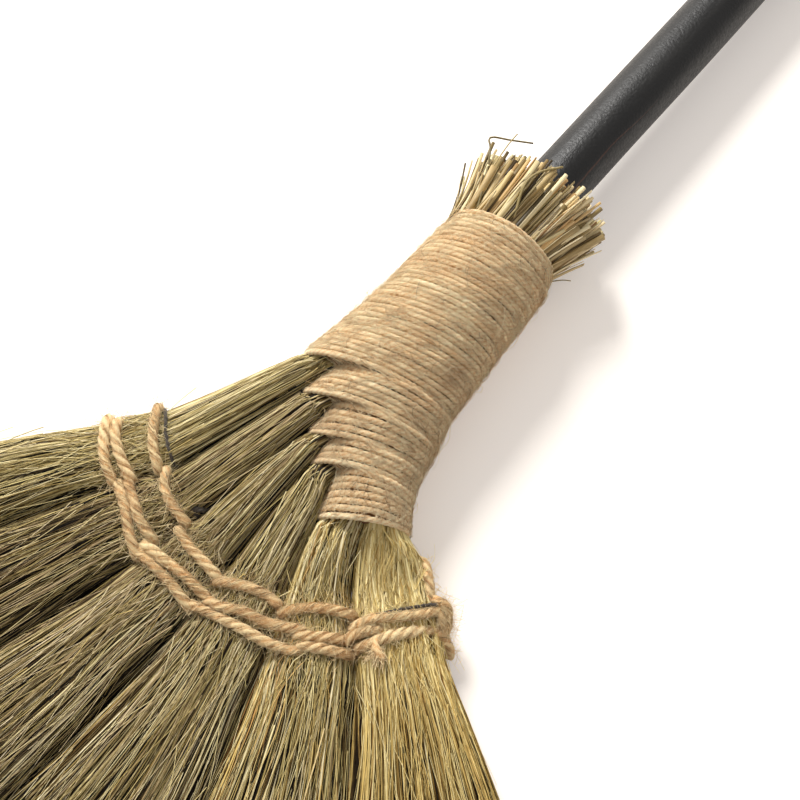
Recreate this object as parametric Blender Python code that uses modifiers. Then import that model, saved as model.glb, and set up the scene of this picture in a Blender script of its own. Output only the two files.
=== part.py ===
"""Grass broom: a round stick bound into six sewn bundles of dried grass.

The broom lies flat, as it is photographed. +Z is up, the handle points along +Y and the fan along -Y.
Depth is the distance below the rim of the neck winding, towards the fan.
"""
import bisect
import math
import random

import bmesh
import bpy
from mathutils import Matrix, Vector

MM = 0.001

# Handle
HANDLE_DIAMETER = 23 * MM
HANDLE_LENGTH = 660 * MM
HANDLE_INSERTION_SHARE = 0.551
HANDLE_EDGE_ROUNDING = 4 * MM
HANDLE_SIDES = 48
HANDLE_CLEARANCE = 0.3 * MM

# Neck and its winding. Each turn that is drawn stands for about two of the real, thinner ones.
WINDING_DIAMETER = 4.1 * MM
WINDING_CLEARANCE = 0.6 * MM
MAIN_TURNS = 16
MAIN_LEFT_PITCH = 5.0 * MM
MAIN_RIGHT_PITCH = 4.76 * MM
POINTS_PER_TURN = 24
NECK_LENGTH = 127 * MM
NECK_HALF_WIDTH = 25 * MM
NECK_HALF_HEIGHT = 18 * MM
BUNDLE_GAP = 0.4 * MM
BUNDLE_TOP_DEPTH = 20 * MM

# Half-height of the neck, in shares of NECK_HALF_HEIGHT, over depth in shares of NECK_LENGTH
NECK_HEIGHT_SHARES = ((0, 1), (0.34, 0.99), (0.55, 0.945), (0.63, 0.89), (0.71, 0.81), (0.79, 0.745), (0.93, 0.667),
                      (1.2, 0.62))

# Levels of the neck: depth at the left and right side in shares of NECK_LENGTH, the first bundle that is still
# inside, and the cuts between the bundles from left to right in shares of NECK_HALF_WIDTH
NECK_LEVEL_SHARES = (
    (0.157, 0.157, 1, (-0.732, -0.38, -0.172, 0.04, 0.252, 0.48, 0.852)),
    (0.339, 0.339, 1, (-0.752, -0.40, -0.168, 0.064, 0.296, 0.536, 0.92)),
    (0.551, 0.543, 1, (-0.868, -0.492, -0.20, 0.064, 0.344, 0.64, 0.972)),
    (0.630, 0.614, 1, (-0.916, -0.504, -0.196, 0.096, 0.40, 0.728, 1.056)),
    (0.669, 0.642, 2, (-0.416, -0.188, 0.104, 0.412, 0.748, 1.104)),
    (0.736, 0.693, 2, (-0.496, -0.176, 0.116, 0.428, 0.792, 1.18)),
    (0.768, 0.719, 3, (-0.036, 0.144, 0.44, 0.832, 1.248)),
    (0.831, 0.764, 3, (-0.04, 0.176, 0.476, 0.90, 1.356)),
    (0.858, 0.782, 4, (0.268, 0.488, 0.944, 1.416)),
    (0.890, 0.803, 4, (0.28, 0.512, 0.984, 1.488)),
    (0.917, 0.821, 5, (0.68, 1.06, 1.544)),
    (1.002, 0.878, 5, (0.928, 1.24, 1.736)),
)

# The two sections where each of the first four bundles leaves the neck: left x, left depth, right x and right
# depth in the same shares, then half-height and centre height above the neck's foot in shares of NECK_HALF_HEIGHT
EXIT_SHARES = {
    1: ((-0.92, 0.666, -0.648, 0.668, 0.42, 0.87), (-1.22, 0.717, -0.728, 0.728, 0.58, 0.61)),
    2: ((-0.508, 0.756, -0.264, 0.762, 0.45, 0.765), (-0.74, 0.795, -0.28, 0.819, 0.56, 0.58)),
    3: ((-0.088, 0.844, 0.044, 0.852, 0.37, 0.71), (-0.24, 0.886, 0.036, 0.89, 0.54, 0.56)),
    4: ((0.24, 0.904, 0.448, 0.908, 0.40, 0.67), (0.14, 0.937, 0.464, 0.953, 0.54, 0.56)),
}

# Turns of the winding below the main part: x and depth at the left and at the right side, in the same shares
STEP_LEFT_SHARES = ((-0.536, 0.682), (-0.612, 0.727), (-0.152, 0.777), (-0.156, 0.820), (0.152, 0.872),
                    (0.576, 0.928), (0.736, 0.981))
STEP_RIGHT_SHARES = ((1.212, 0.618), (1.264, 0.655), (1.324, 0.691), (1.392, 0.727), (1.48, 0.761),
                     (1.584, 0.793), (1.692, 0.824), (1.796, 0.856))
MAIN_LEFT_X_SHARES = ((0, -0.832), (0.339, -0.86), (0.535, -0.972), (0.63, -1.024))
MAIN_RIGHT_X_SHARES = ((0, 0.872), (0.15, 0.968), (0.346, 1.036), (0.535, 1.092), (0.618, 1.212))

# Stalk ends above the rim
STALK_LENGTH = 31 * MM
STALK_LENGTH_SPREAD = 5 * MM
STALK_FLARE_ACROSS_SHARE = 1.5
STALK_FLARE_UP_SHARE = 1.2
STALK_SECTORS = 14
STALK_TAPER_SHARE = 0.7

# Fan: angles in degrees about the sewing centre, 0 straight away from the handle, positive to the right
SEWING_CENTRE_RISE = 36 * MM
FAN_RADIUS = 262 * MM
FAN_RADIUS_SPREAD = 6 * MM
SEWN_START_RADIUS = 62 * MM
SEWN_LENGTH = 31 * MM
SEWN_START_ANGLES = (-56, -33.5, -15, 3, 22.5, 42.5, 67.5)
SEWN_END_ANGLES = (-50, -33.5, -15, 3, 22.5, 42.5, 62)
TIP_ANGLES = (-39.5, -27, -15.5, -2.5, 18.5, 36, 60)
TIP_GAP = 2.5 * MM
BUNDLE_HALF_THICKNESS = 7 * MM
TIP_THICKNESS = 17 * MM
TIP_PRESS_DEPTH = 1.5 * MM
STRAND_TAPER_SHARE = 0.56
SECTION_POINTS = 13
EDGE_SHARE = 0.985
FLUTE_DEPTH = 0.45 * MM

# Sewing twine
TWINE_DIAMETER = 3.6 * MM
TWINE_CLEARANCE = 0.9 * MM
TWINE_PASS_GAP = 0.6 * MM
TWINE_FLOOR_GAP = 0.5 * MM
ROW_SHARES = (0.268, 0.545, 0.823)
ARCH_STEPS = 5
ARCH_FULLNESS = 0.6
CORD_DIAMETER = 1.6 * MM
CORD_SHARE = 0.094
CORD_OVER_BUNDLES = (1, 4, 6)

SEED = 7
MIN_WINDING_GAP = 0.4 * MM

BUNDLES = range(1, 7)
HANDLE_INSERTION = HANDLE_INSERTION_SHARE * NECK_LENGTH
SEWING_CENTRE_DEPTH = NECK_LENGTH - SEWING_CENTRE_RISE
SEWN_END_RADIUS = SEWN_START_RADIUS + SEWN_LENGTH
ROW_RADII = [SEWN_START_RADIUS + SEWN_LENGTH * share for share in ROW_SHARES]
CORD_RADIUS = SEWN_START_RADIUS + SEWN_LENGTH * CORD_SHARE
SEW_GAP = TWINE_DIAMETER + 2 * TWINE_CLEARANCE
WINDING_OFFSET = WINDING_DIAMETER / 2 + WINDING_CLEARANCE
WINDING_PRESS = WINDING_DIAMETER / 10
NECK_FLOOR = WINDING_DIAMETER + WINDING_CLEARANCE - WINDING_PRESS
ROW_FLOOR = TWINE_FLOOR_GAP + TWINE_DIAMETER + TWINE_CLEARANCE
ROW_CENTRE_HEIGHT = ROW_FLOOR + BUNDLE_HALF_THICKNESS
RIM_AXIS_HEIGHT = NECK_FLOOR + NECK_HALF_HEIGHT
HANDLE_OUTSIDE = HANDLE_LENGTH - HANDLE_INSERTION
HANDLE_TILT = math.atan((RIM_AXIS_HEIGHT - HANDLE_DIAMETER / 2) / (HANDLE_OUTSIDE - HANDLE_EDGE_ROUNDING))


def interpolate(table, where):
    """Read a table of (place, value) rows at a place, on straight lines between its rows."""
    places = [row[0] for row in table]
    index = min(max(bisect.bisect_right(places, where), 1), len(table) - 1)
    (start, low), (end, high) = table[index - 1], table[index]
    share = min(max((where - start) / (end - start), 0), 1)
    return low + (high - low) * share


def neck_half_height(depth):
    return NECK_HALF_HEIGHT * interpolate(NECK_HEIGHT_SHARES, depth / NECK_LENGTH)


def plan(x_share, depth_share):
    """A place in plan, from its shares of the neck's half-width and length."""
    return Vector((NECK_HALF_WIDTH * x_share, -NECK_LENGTH * depth_share))


def polar(radius, angle):
    """A place in plan, from its radius and its angle in degrees about the sewing centre."""
    turn = math.radians(angle)
    return Vector((radius * math.sin(turn), -SEWING_CENTRE_DEPTH - radius * math.cos(turn)))


def arc_angle(length, radius):
    return math.degrees(length / radius)


def make_material(name, colour, roughness, metallic=0.0):
    material = bpy.data.materials.new(name)
    material.use_nodes = True
    shader = material.node_tree.nodes["Principled BSDF"]
    shader.inputs["Base Color"].default_value = (*colour, 1)
    shader.inputs["Roughness"].default_value = roughness
    shader.inputs["Metallic"].default_value = metallic
    material.diffuse_color = (*colour, 1)
    return material


def add_object(name, mesh, material, collection):
    """Link a mesh as one named sub-part."""
    part = bpy.data.objects.new(name, mesh)
    part.data.materials.append(material)
    collection.objects.link(part)
    return part


def section(left, right, group_left, group_right, half_height, centre_height, flute=0.0):
    """A closed section between two places in plan: its points along the top, then back along the bottom.

    The curve is a half ellipse over the whole group of bundles, of which this section may be a slice.
    """
    span = group_right - group_left
    top = []
    bottom = []
    for index in range(SECTION_POINTS):
        place = left.lerp(right, index / (SECTION_POINTS - 1))
        share = 2 * (place - group_left).dot(span) / span.length_squared - 1
        share = max(-1, min(1, share)) * EDGE_SHARE
        rise = half_height * math.sqrt(1 - share * share)
        if index % 2:
            rise -= flute
        top.append(Vector((place.x, place.y, centre_height + rise)))
        bottom.append(Vector((place.x, place.y, centre_height - rise)))
    return top + bottom[::-1]


def neck_sections(bundle):
    """The bundle's sections at the levels of the neck where it is still inside."""
    sections = []
    for left_depth, right_depth, first, cuts in NECK_LEVEL_SHARES:
        if bundle < first:
            break

        def on_level(x_share):
            along = (x_share - cuts[0]) / (cuts[-1] - cuts[0])
            return plan(x_share, left_depth + (right_depth - left_depth) * along)

        left = on_level(cuts[bundle - first])
        right = on_level(cuts[bundle - first + 1])
        across = (right - left).normalized()
        if bundle > first:
            left += across * (BUNDLE_GAP / 2)
        if bundle < len(BUNDLES):
            right -= across * (BUNDLE_GAP / 2)
        half_height = neck_half_height(NECK_LENGTH * (left_depth + right_depth) / 2)
        sections.append(section(left, right, on_level(cuts[0]), on_level(cuts[-1]), half_height,
                                NECK_FLOOR + half_height))
    return sections


def exit_sections(bundle):
    """The two sections where the bundle leaves the neck. The last two bundles leave at its end instead."""
    sections = []
    for left_x, left_depth, right_x, right_depth, height_share, centre_share in EXIT_SHARES.get(bundle, ()):
        left = plan(left_x, left_depth)
        right = plan(right_x, right_depth)
        half_height = NECK_HALF_HEIGHT * height_share
        centre_height = NECK_FLOOR + NECK_HALF_HEIGHT * centre_share
        sections.append(section(left, right, left, right, half_height, centre_height, FLUTE_DEPTH))
    return sections


def wall_angles(bundle, radius):
    """The angles of the bundle's two walls where it is sewn."""
    share = (radius - SEWN_START_RADIUS) / (SEWN_END_RADIUS - SEWN_START_RADIUS)
    angles = [start + (end - start) * share for start, end in zip(SEWN_START_ANGLES, SEWN_END_ANGLES)]
    half_gap = arc_angle(SEW_GAP / 2, radius)
    left = angles[bundle - 1] + (half_gap if bundle > 1 else 0)
    right = angles[bundle] - (half_gap if bundle < len(BUNDLES) else 0)
    return left, right


def sewn_section(bundle, radius):
    left, right = (polar(radius, angle) for angle in wall_angles(bundle, radius))
    return section(left, right, left, right, BUNDLE_HALF_THICKNESS, ROW_CENTRE_HEIGHT, FLUTE_DEPTH)


def strand_faces(mesh_data, end_ring):
    """Fill the bundle's end with triangles, the root of one strand each, round a row of middle points."""
    count = SECTION_POINTS
    top = end_ring[:count]
    bottom = end_ring[:count - 1:-1]
    middle = [None] * count
    for index in range(1, count - 1):
        middle[index] = mesh_data.verts.new((top[index].co + bottom[index].co) / 2)
    corners = []
    for index in range(1, count - 2):
        corners.append((top[index], top[index + 1], middle[index + 1]))
        corners.append((top[index], middle[index + 1], middle[index]))
        corners.append((middle[index], middle[index + 1], bottom[index + 1]))
        corners.append((middle[index], bottom[index + 1], bottom[index]))
    for side, inner in ((0, 1), (count - 1, count - 2)):
        corners.append((top[side], top[inner], middle[inner]))
        corners.append((top[side], middle[inner], bottom[side]))
        corners.append((bottom[side], middle[inner], bottom[inner]))
    return [mesh_data.faces.new(corner) for corner in corners]


def grow_strands(mesh_data, roots, place_tip, taper_share):
    """Draw each root face out into one strand, fused to the others at its root."""
    grown = bmesh.ops.extrude_discrete_faces(mesh_data, faces=roots)["faces"]
    for face in grown:
        tips = place_tip([vertex.co.copy() for vertex in face.verts])
        middle = sum(tips, Vector()) / len(tips)
        for vertex, tip in zip(face.verts, tips):
            vertex.co = middle.lerp(tip, taper_share)


def finish_mesh(mesh_data, name):
    """Turn the faces outwards and make a mesh with smooth curves and sharp edges."""
    bmesh.ops.recalc_face_normals(mesh_data, faces=mesh_data.faces)
    mesh = bpy.data.meshes.new(name)
    mesh_data.to_mesh(mesh)
    mesh_data.free()
    mesh.shade_smooth()
    mesh.set_sharp_from_angle(angle=math.radians(35))
    return mesh


def bundle_tip_placer(bundle, draw):
    """A function that moves a strand's root points to the fan's edge, in the same order across the bundle."""
    left, right = wall_angles(bundle, SEWN_END_RADIUS)
    half_gap = arc_angle(TIP_GAP / 2, FAN_RADIUS)
    tip_left = TIP_ANGLES[bundle - 1] + half_gap
    tip_right = TIP_ANGLES[bundle] - half_gap

    def place_tip(points):
        radius = FAN_RADIUS + draw.uniform(-FAN_RADIUS_SPREAD, FAN_RADIUS_SPREAD)
        tips = []
        for point in points:
            angle = math.degrees(math.atan2(point.x, -point.y - SEWING_CENTRE_DEPTH))
            share = (angle - left) / (right - left)
            place = polar(radius, tip_left + (tip_right - tip_left) * share)
            up_share = (point.z - ROW_FLOOR) / (2 * BUNDLE_HALF_THICKNESS)
            tips.append(Vector((place.x, place.y, up_share * TIP_THICKNESS - TIP_PRESS_DEPTH)))
        return tips

    return place_tip


def press_on_floor(mesh_data):
    """Flatten what would reach below the floor."""
    for vertex in mesh_data.verts:
        vertex.co.z = max(vertex.co.z, 0)


def make_bundle(bundle, material, collection, draw):
    """One bundle of grass: a fluted shank through the neck and the sewing, and its loose strands."""
    sections = neck_sections(bundle) + exit_sections(bundle)
    sections += [sewn_section(bundle, radius) for radius in (SEWN_START_RADIUS, SEWN_END_RADIUS)]
    mesh_data = bmesh.new()
    rings = [[mesh_data.verts.new(point) for point in points] for points in sections]
    count = len(rings[0])
    for upper, lower in zip(rings, rings[1:]):
        for index in range(count):
            after = (index + 1) % count
            mesh_data.faces.new((upper[index], upper[after], lower[after], lower[index]))
    mesh_data.faces.new(rings[0])
    roots = strand_faces(mesh_data, rings[-1])
    grow_strands(mesh_data, roots, bundle_tip_placer(bundle, draw), STRAND_TAPER_SHARE)
    press_on_floor(mesh_data)
    name = f"grass_bundle_{bundle}"
    return add_object(name, finish_mesh(mesh_data, name), material, collection)


def handle_matrix(depth):
    """The handle's own frame at a depth: its Z runs along the stick, outwards."""
    return (Matrix.Translation((0, 0, RIM_AXIS_HEIGHT)) @ Matrix.Rotation(-math.pi / 2 - HANDLE_TILT, 4, "X")
            @ Matrix.Translation((0, 0, -depth)))


def make_handle(material, collection):
    """The round stick, with its edges rounded, leaning down to the floor at its far end."""
    bpy.ops.mesh.primitive_cylinder_add(vertices=HANDLE_SIDES, radius=HANDLE_DIAMETER / 2, depth=HANDLE_LENGTH)
    handle = bpy.context.object
    handle.name = "handle"
    handle.data.name = "handle"
    handle.matrix_world = handle_matrix(HANDLE_INSERTION - HANDLE_LENGTH / 2)
    handle.data.materials.append(material)
    handle.data.shade_smooth()
    bevel = handle.modifiers.new("rounded_edges", "BEVEL")
    bevel.width = HANDLE_EDGE_ROUNDING
    bevel.segments = 3
    bevel.limit_method = "ANGLE"
    handle.data.set_sharp_from_angle(angle=math.radians(40))
    for old in handle.users_collection:
        old.objects.unlink(handle)
    collection.objects.link(handle)
    return handle


def make_handle_cutter(collection):
    """The room for the handle in the bundles, from above their tops down to just past its tip."""
    radius = HANDLE_DIAMETER / 2 + HANDLE_CLEARANCE
    bpy.ops.mesh.primitive_cylinder_add(vertices=HANDLE_SIDES, radius=radius, depth=HANDLE_INSERTION)
    cutter = bpy.context.object
    cutter.name = "handle_room"
    cutter.matrix_world = handle_matrix(HANDLE_INSERTION / 2 + HANDLE_CLEARANCE)
    cutter.hide_render = True
    cutter.display_type = "WIRE"
    for old in cutter.users_collection:
        old.objects.unlink(cutter)
    collection.objects.link(cutter)
    return cutter


def cut_handle_room(part, cutter):
    cut = part.modifiers.new("handle_room", "BOOLEAN")
    cut.operation = "DIFFERENCE"
    cut.object = cutter


def axis_height(depth):
    return RIM_AXIS_HEIGHT + depth * math.tan(HANDLE_TILT)


def make_stalk_ends(material, collection, draw):
    """The cut stalk ends round the handle: a short packed ring, with a stub drawn out of each face on top."""
    mesh_data = bmesh.new()
    inner_radius = (HANDLE_DIAMETER / 2 + HANDLE_CLEARANCE) / math.cos(math.pi / STALK_SECTORS)

    def ring(depth, share):
        """A ring of points from the bore, at share 0, to the winding, at share 1."""
        left = NECK_HALF_WIDTH * interpolate(MAIN_LEFT_X_SHARES, depth / NECK_LENGTH) + WINDING_OFFSET
        right = NECK_HALF_WIDTH * interpolate(MAIN_RIGHT_X_SHARES, depth / NECK_LENGTH) - WINDING_OFFSET
        half_height = neck_half_height(depth)
        points = []
        for index in range(STALK_SECTORS):
            turn = 2 * math.pi * index / STALK_SECTORS
            bore = Vector((inner_radius * math.cos(turn), axis_height(depth) + inner_radius * math.sin(turn)))
            outer = Vector(((left + right) / 2 + (right - left) / 2 * math.cos(turn),
                            NECK_FLOOR + half_height + half_height * math.sin(turn)))
            place = bore.lerp(outer, share)
            points.append(mesh_data.verts.new((place.x, -depth, place.y)))
        return points

    low_depth = BUNDLE_TOP_DEPTH - BUNDLE_GAP
    loops = [ring(low_depth, 0), ring(0, 0), ring(0, 0.5), ring(0, 1), ring(low_depth, 1)]
    roots = []
    for index, (first, second) in enumerate(zip(loops, loops[1:] + loops[:1])):
        for sector in range(STALK_SECTORS):
            after = (sector + 1) % STALK_SECTORS
            if index in (1, 2):
                roots.append(mesh_data.faces.new((first[sector], first[after], second[after])))
                roots.append(mesh_data.faces.new((first[sector], second[after], second[sector])))
            else:
                mesh_data.faces.new((first[sector], first[after], second[after], second[sector]))

    def place_tip(points):
        length = STALK_LENGTH + draw.uniform(-STALK_LENGTH_SPREAD, STALK_LENGTH_SPREAD)
        reach = length / STALK_LENGTH
        across = 1 + (STALK_FLARE_ACROSS_SHARE - 1) * reach
        up = 1 + (STALK_FLARE_UP_SHARE - 1) * reach
        height = RIM_AXIS_HEIGHT
        return [Vector((point.x * across, length, height + (point.z - height) * up)) for point in points]

    grow_strands(mesh_data, roots, place_tip, STALK_TAPER_SHARE)
    press_on_floor(mesh_data)
    return add_object("stalk_ends", finish_mesh(mesh_data, "stalk_ends"), material, collection)


def tube(name, points, diameter, resolution, material, collection):
    """A tube along a list of points, as a closed mesh."""
    curve = bpy.data.curves.new(name, "CURVE")
    curve.dimensions = "3D"
    curve.bevel_depth = diameter / 2
    curve.bevel_resolution = resolution
    curve.use_fill_caps = True
    spline = curve.splines.new("POLY")
    spline.points.add(len(points) - 1)
    for target, point in zip(spline.points, points):
        target.co = (*point, 1)
    guide = bpy.data.objects.new(name, curve)
    collection.objects.link(guide)
    evaluated = guide.evaluated_get(bpy.context.evaluated_depsgraph_get())
    mesh = bpy.data.meshes.new_from_object(evaluated)
    bpy.data.objects.remove(guide)
    bpy.data.curves.remove(curve)
    mesh_data = bmesh.new()
    mesh_data.from_mesh(mesh)
    bpy.data.meshes.remove(mesh)
    bmesh.ops.remove_doubles(mesh_data, verts=mesh_data.verts, dist=diameter / 1000)
    press_on_floor(mesh_data)
    return add_object(name, finish_mesh(mesh_data, name), material, collection)


def place_at_turn(places, turn, stepped_from=None):
    """The winding's place on one side: it sinks evenly, and in the steps it moves only while on the far side."""
    index = min(max(int(math.floor(turn)), 0), len(places) - 2)
    share = turn - index
    place = places[index].lerp(places[index + 1], share)
    if stepped_from is None or index < stepped_from:
        return place
    share = min(max(2 * share - 0.5, 0), 1)
    stepped = places[index].lerp(places[index + 1], share * share * (3 - 2 * share))
    if index == stepped_from:
        stepped.y = place.y
    return stepped


def winding_side(x_table, pitch, start, steps):
    """The winding's places in plan on one side: the main turns first, then the steps."""
    places = []
    for turn in range(MAIN_TURNS):
        depth = WINDING_DIAMETER / 2 + pitch * (turn + start)
        x = NECK_HALF_WIDTH * interpolate(x_table, depth / NECK_LENGTH)
        places.append(Vector((x, -depth)))
    return places + [plan(*step) for step in steps]


def winding_points():
    """The winding's route: an ellipse that goes down the neck turn by turn."""
    lefts = winding_side(MAIN_LEFT_X_SHARES, MAIN_LEFT_PITCH, 0.5, STEP_LEFT_SHARES)
    rights = winding_side(MAIN_RIGHT_X_SHARES, MAIN_RIGHT_PITCH, 0, STEP_RIGHT_SHARES)
    turns = len(lefts)
    points = []
    for index in range(turns * POINTS_PER_TURN + 1):
        turn = index / POINTS_PER_TURN
        left = place_at_turn(lefts, turn - 0.5, MAIN_TURNS - 1)
        right = place_at_turn(rights, turn)
        swing = math.cos(2 * math.pi * turn)
        place = left.lerp(right, (1 + swing) / 2)
        half_height = neck_half_height(-(left.y + right.y) / 2)
        height = NECK_FLOOR + half_height + (half_height + WINDING_OFFSET) * math.sin(2 * math.pi * turn)
        points.append(Vector((place.x, place.y, height)))
    before = points[0] + (points[0] - points[1]).normalized() * WINDING_DIAMETER
    after = points[-1] + (points[-1] - points[-2]).normalized() * WINDING_DIAMETER
    return [before] + points + [after]


def least_gap(points, diameter):
    """The least gap of the winding to itself, measured from its points to the turns beside them."""
    least = math.inf
    for index, point in enumerate(points):
        low = index + POINTS_PER_TURN // 2
        for other in range(low, min(low + POINTS_PER_TURN, len(points) - 1)):
            start = points[other]
            step = points[other + 1] - start
            share = min(max((point - start).dot(step) / step.length_squared, 0), 1)
            least = min(least, (start + step * share - point).length)
    return least - diameter


def arch(bundle, radius, diameter, over, offsets, clearance):
    """The stitch across one bundle, from its left gap towards its right one, over it or under it."""
    left, right = wall_angles(bundle, radius)
    reach = arc_angle(diameter / 2 + clearance, radius)
    left -= reach
    right += reach
    points = []
    for step in range(ARCH_STEPS):
        turn = math.pi * step / ARCH_STEPS
        share = (1 - math.cos(turn)) / 2
        place = polar(radius + offsets[0] + (offsets[1] - offsets[0]) * share, left + (right - left) * share)
        rise = (BUNDLE_HALF_THICKNESS + diameter / 2 + clearance) * math.sin(turn) ** ARCH_FULLNESS
        points.append(Vector((place.x, place.y, ROW_CENTRE_HEIGHT + (rise if over else -rise))))
    return points


def mirrored_arch(bundle, radius, diameter, over, offsets, clearance):
    """The same stitch, run from the right gap to the left one."""
    forward = arch(bundle, radius, diameter, over, offsets, clearance)
    right = wall_angles(bundle, radius)[1]
    end = polar(radius + offsets[1], right + arc_angle(diameter / 2 + clearance, radius))
    return [Vector((end.x, end.y, ROW_CENTRE_HEIGHT))] + forward[:0:-1]


def tail(point, toward, length):
    """A short straight end beyond a point, away from the next one."""
    return point + (point - toward).normalized() * length


def make_row(name, radius, material, collection):
    """A doubled twine: it weaves to the left edge, folds round it and weaves back on the other side."""
    pass_offset = (TWINE_DIAMETER + TWINE_PASS_GAP) / 2
    last = len(BUNDLES)

    def offset(gap, homeward):
        if gap == 0:
            return 0
        sign = 1 if gap % 2 else -1
        return pass_offset * (-sign if homeward else sign)

    points = []
    for bundle in reversed(BUNDLES):
        over = bundle % 2 == 0
        offsets = (offset(bundle - 1, False), offset(bundle, False))
        points += mirrored_arch(bundle, radius, TWINE_DIAMETER, over, offsets, TWINE_CLEARANCE)
    for bundle in BUNDLES:
        over = bundle % 2 == 1
        offsets = (offset(bundle - 1, True), offset(bundle, True))
        points += arch(bundle, radius, TWINE_DIAMETER, over, offsets, TWINE_CLEARANCE)
    right = wall_angles(last, radius)[1] + arc_angle(TWINE_DIAMETER / 2 + TWINE_CLEARANCE, radius)
    end = polar(radius + offset(last, True), right)
    points.append(Vector((end.x, end.y, ROW_CENTRE_HEIGHT)))
    up = Vector((0, 0, TWINE_DIAMETER / 2))
    points.insert(0, points[0] - up)
    points.append(points[-1] + up)
    return tube(name, points, TWINE_DIAMETER, 2, material, collection)


def make_cord(material, collection):
    """The thin dark cord, which weaves once across the fan beside the upper row."""
    clearance = (SEW_GAP - CORD_DIAMETER) / 2
    points = []
    for bundle in reversed(BUNDLES):
        points += mirrored_arch(bundle, CORD_RADIUS, CORD_DIAMETER, bundle in CORD_OVER_BUNDLES, (0, 0), clearance)
    first = points[0]
    points.insert(0, first - Vector((0, 0, CORD_DIAMETER)))
    return tube("black_cord", points, CORD_DIAMETER, 2, material, collection)


def centre_on_floor(parts):
    """Move the parts, through their common parent, so that the middle of their box's foot is the origin."""
    bpy.context.view_layer.update()
    depsgraph = bpy.context.evaluated_depsgraph_get()
    corners = []
    for part in parts:
        evaluated = part.evaluated_get(depsgraph)
        corners += [evaluated.matrix_world @ vertex.co for vertex in evaluated.data.vertices]
    low = Vector([min(corner[axis] for corner in corners) for axis in range(3)])
    high = Vector([max(corner[axis] for corner in corners) for axis in range(3)])
    root = bpy.data.objects.new("broom", None)
    bpy.context.scene.collection.objects.link(root)
    for part in parts:
        part.parent = root
    middle = (low + high) / 2
    root.location = (-middle.x, -middle.y, -low.z)
    bpy.context.view_layer.update()
    return root


def build():
    for old in list(bpy.data.objects):
        bpy.data.objects.remove(old)
    parts_collection = bpy.data.collections.new("grass_broom")
    cutters_collection = bpy.data.collections.new("cutters")
    bpy.context.scene.collection.children.link(parts_collection)
    bpy.context.scene.collection.children.link(cutters_collection)

    stained_wood = make_material("stained_wood", (0.032, 0.03, 0.029), 0.42)
    dry_grass = make_material("dry_grass", (0.27, 0.21, 0.09), 0.75)
    straw = make_material("straw", (0.40, 0.30, 0.14), 0.7)
    jute = make_material("jute", (0.52, 0.36, 0.19), 0.9)
    black_jute = make_material("black_jute", (0.025, 0.022, 0.02), 0.8)

    draw = random.Random(SEED)
    cutter = make_handle_cutter(cutters_collection)
    parts = [make_handle(stained_wood, parts_collection)]
    for bundle in BUNDLES:
        part = make_bundle(bundle, dry_grass, parts_collection, draw)
        cut_handle_room(part, cutter)
        parts.append(part)
    parts.append(make_stalk_ends(straw, parts_collection, draw))

    route = winding_points()
    gap = least_gap(route, WINDING_DIAMETER)
    print(f"Least gap of the neck winding to itself: {gap / MM:.2f} mm, wanted over {MIN_WINDING_GAP / MM:.1f} mm")
    parts.append(tube("neck_winding", route, WINDING_DIAMETER, 1, jute, parts_collection))

    row_names = ("upper_sewing_twine", "inner_sewing_twine", "outer_sewing_twine")
    for name, radius in zip(row_names, ROW_RADII):
        parts.append(make_row(name, radius, jute, parts_collection))
    parts.append(make_cord(black_jute, parts_collection))
    root = centre_on_floor(parts)
    cutter.parent = root


build()
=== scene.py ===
"""The looks of a grass broom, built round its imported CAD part.

Lengths are in millimetres and in plan coordinates until a mesh is made: the origin is on the stick's axis at the
neck's rim, +Y runs along the stick to its free end, X to the right and Z up from the floor. All pieces ride on the
one body. Nothing random is left unseeded.
"""

import math

import bpy
import numpy as np
from mathutils import Matrix, Vector


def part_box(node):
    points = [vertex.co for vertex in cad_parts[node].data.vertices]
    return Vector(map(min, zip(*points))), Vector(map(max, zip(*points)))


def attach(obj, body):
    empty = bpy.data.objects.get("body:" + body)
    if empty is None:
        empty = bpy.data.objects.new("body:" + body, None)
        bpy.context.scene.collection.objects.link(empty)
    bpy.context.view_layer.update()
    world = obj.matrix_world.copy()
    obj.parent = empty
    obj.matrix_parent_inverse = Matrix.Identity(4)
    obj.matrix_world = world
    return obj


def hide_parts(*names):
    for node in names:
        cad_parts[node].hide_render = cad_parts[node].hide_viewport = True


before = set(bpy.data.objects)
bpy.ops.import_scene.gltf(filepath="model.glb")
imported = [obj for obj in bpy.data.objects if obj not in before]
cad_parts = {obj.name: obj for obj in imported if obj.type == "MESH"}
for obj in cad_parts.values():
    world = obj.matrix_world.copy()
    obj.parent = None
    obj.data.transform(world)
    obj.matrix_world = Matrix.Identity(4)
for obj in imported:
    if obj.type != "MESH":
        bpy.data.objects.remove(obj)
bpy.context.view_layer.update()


STICK_LOW, STICK_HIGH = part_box("handle")
NECK_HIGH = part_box("neck_winding")[1]

# Where the plan's origin is in the frame, in metres
ORIGIN = np.array([(STICK_LOW.x + STICK_HIGH.x) / 2, NECK_HIGH.y - 0.0001, 0.0])

# Main sizes in millimetres: those of the part's own source, some of them corrected a little from the photo
SEWING_CENTRE = np.array([0.0, -91.0])
SEWN_START_RADIUS = 62.0
SEWN_END_RADIUS = 93.0
TIP_RADIUS = 266.0
SEWN_START_ANGLES = (-54.5, -33.5, -15, 3, 22.5, 42.5, 67.5)
SEWN_END_ANGLES = (-48.5, -33.5, -15, 3, 22.5, 42.5, 62)
TIP_ANGLES = (-38.5, -27, -15.5, -2.5, 18.5, 36, 60)
NECK_LENGTH = 127.0
NECK_FLOOR = 4.3
NECK_HALF_HEIGHT = 18.0
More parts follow.
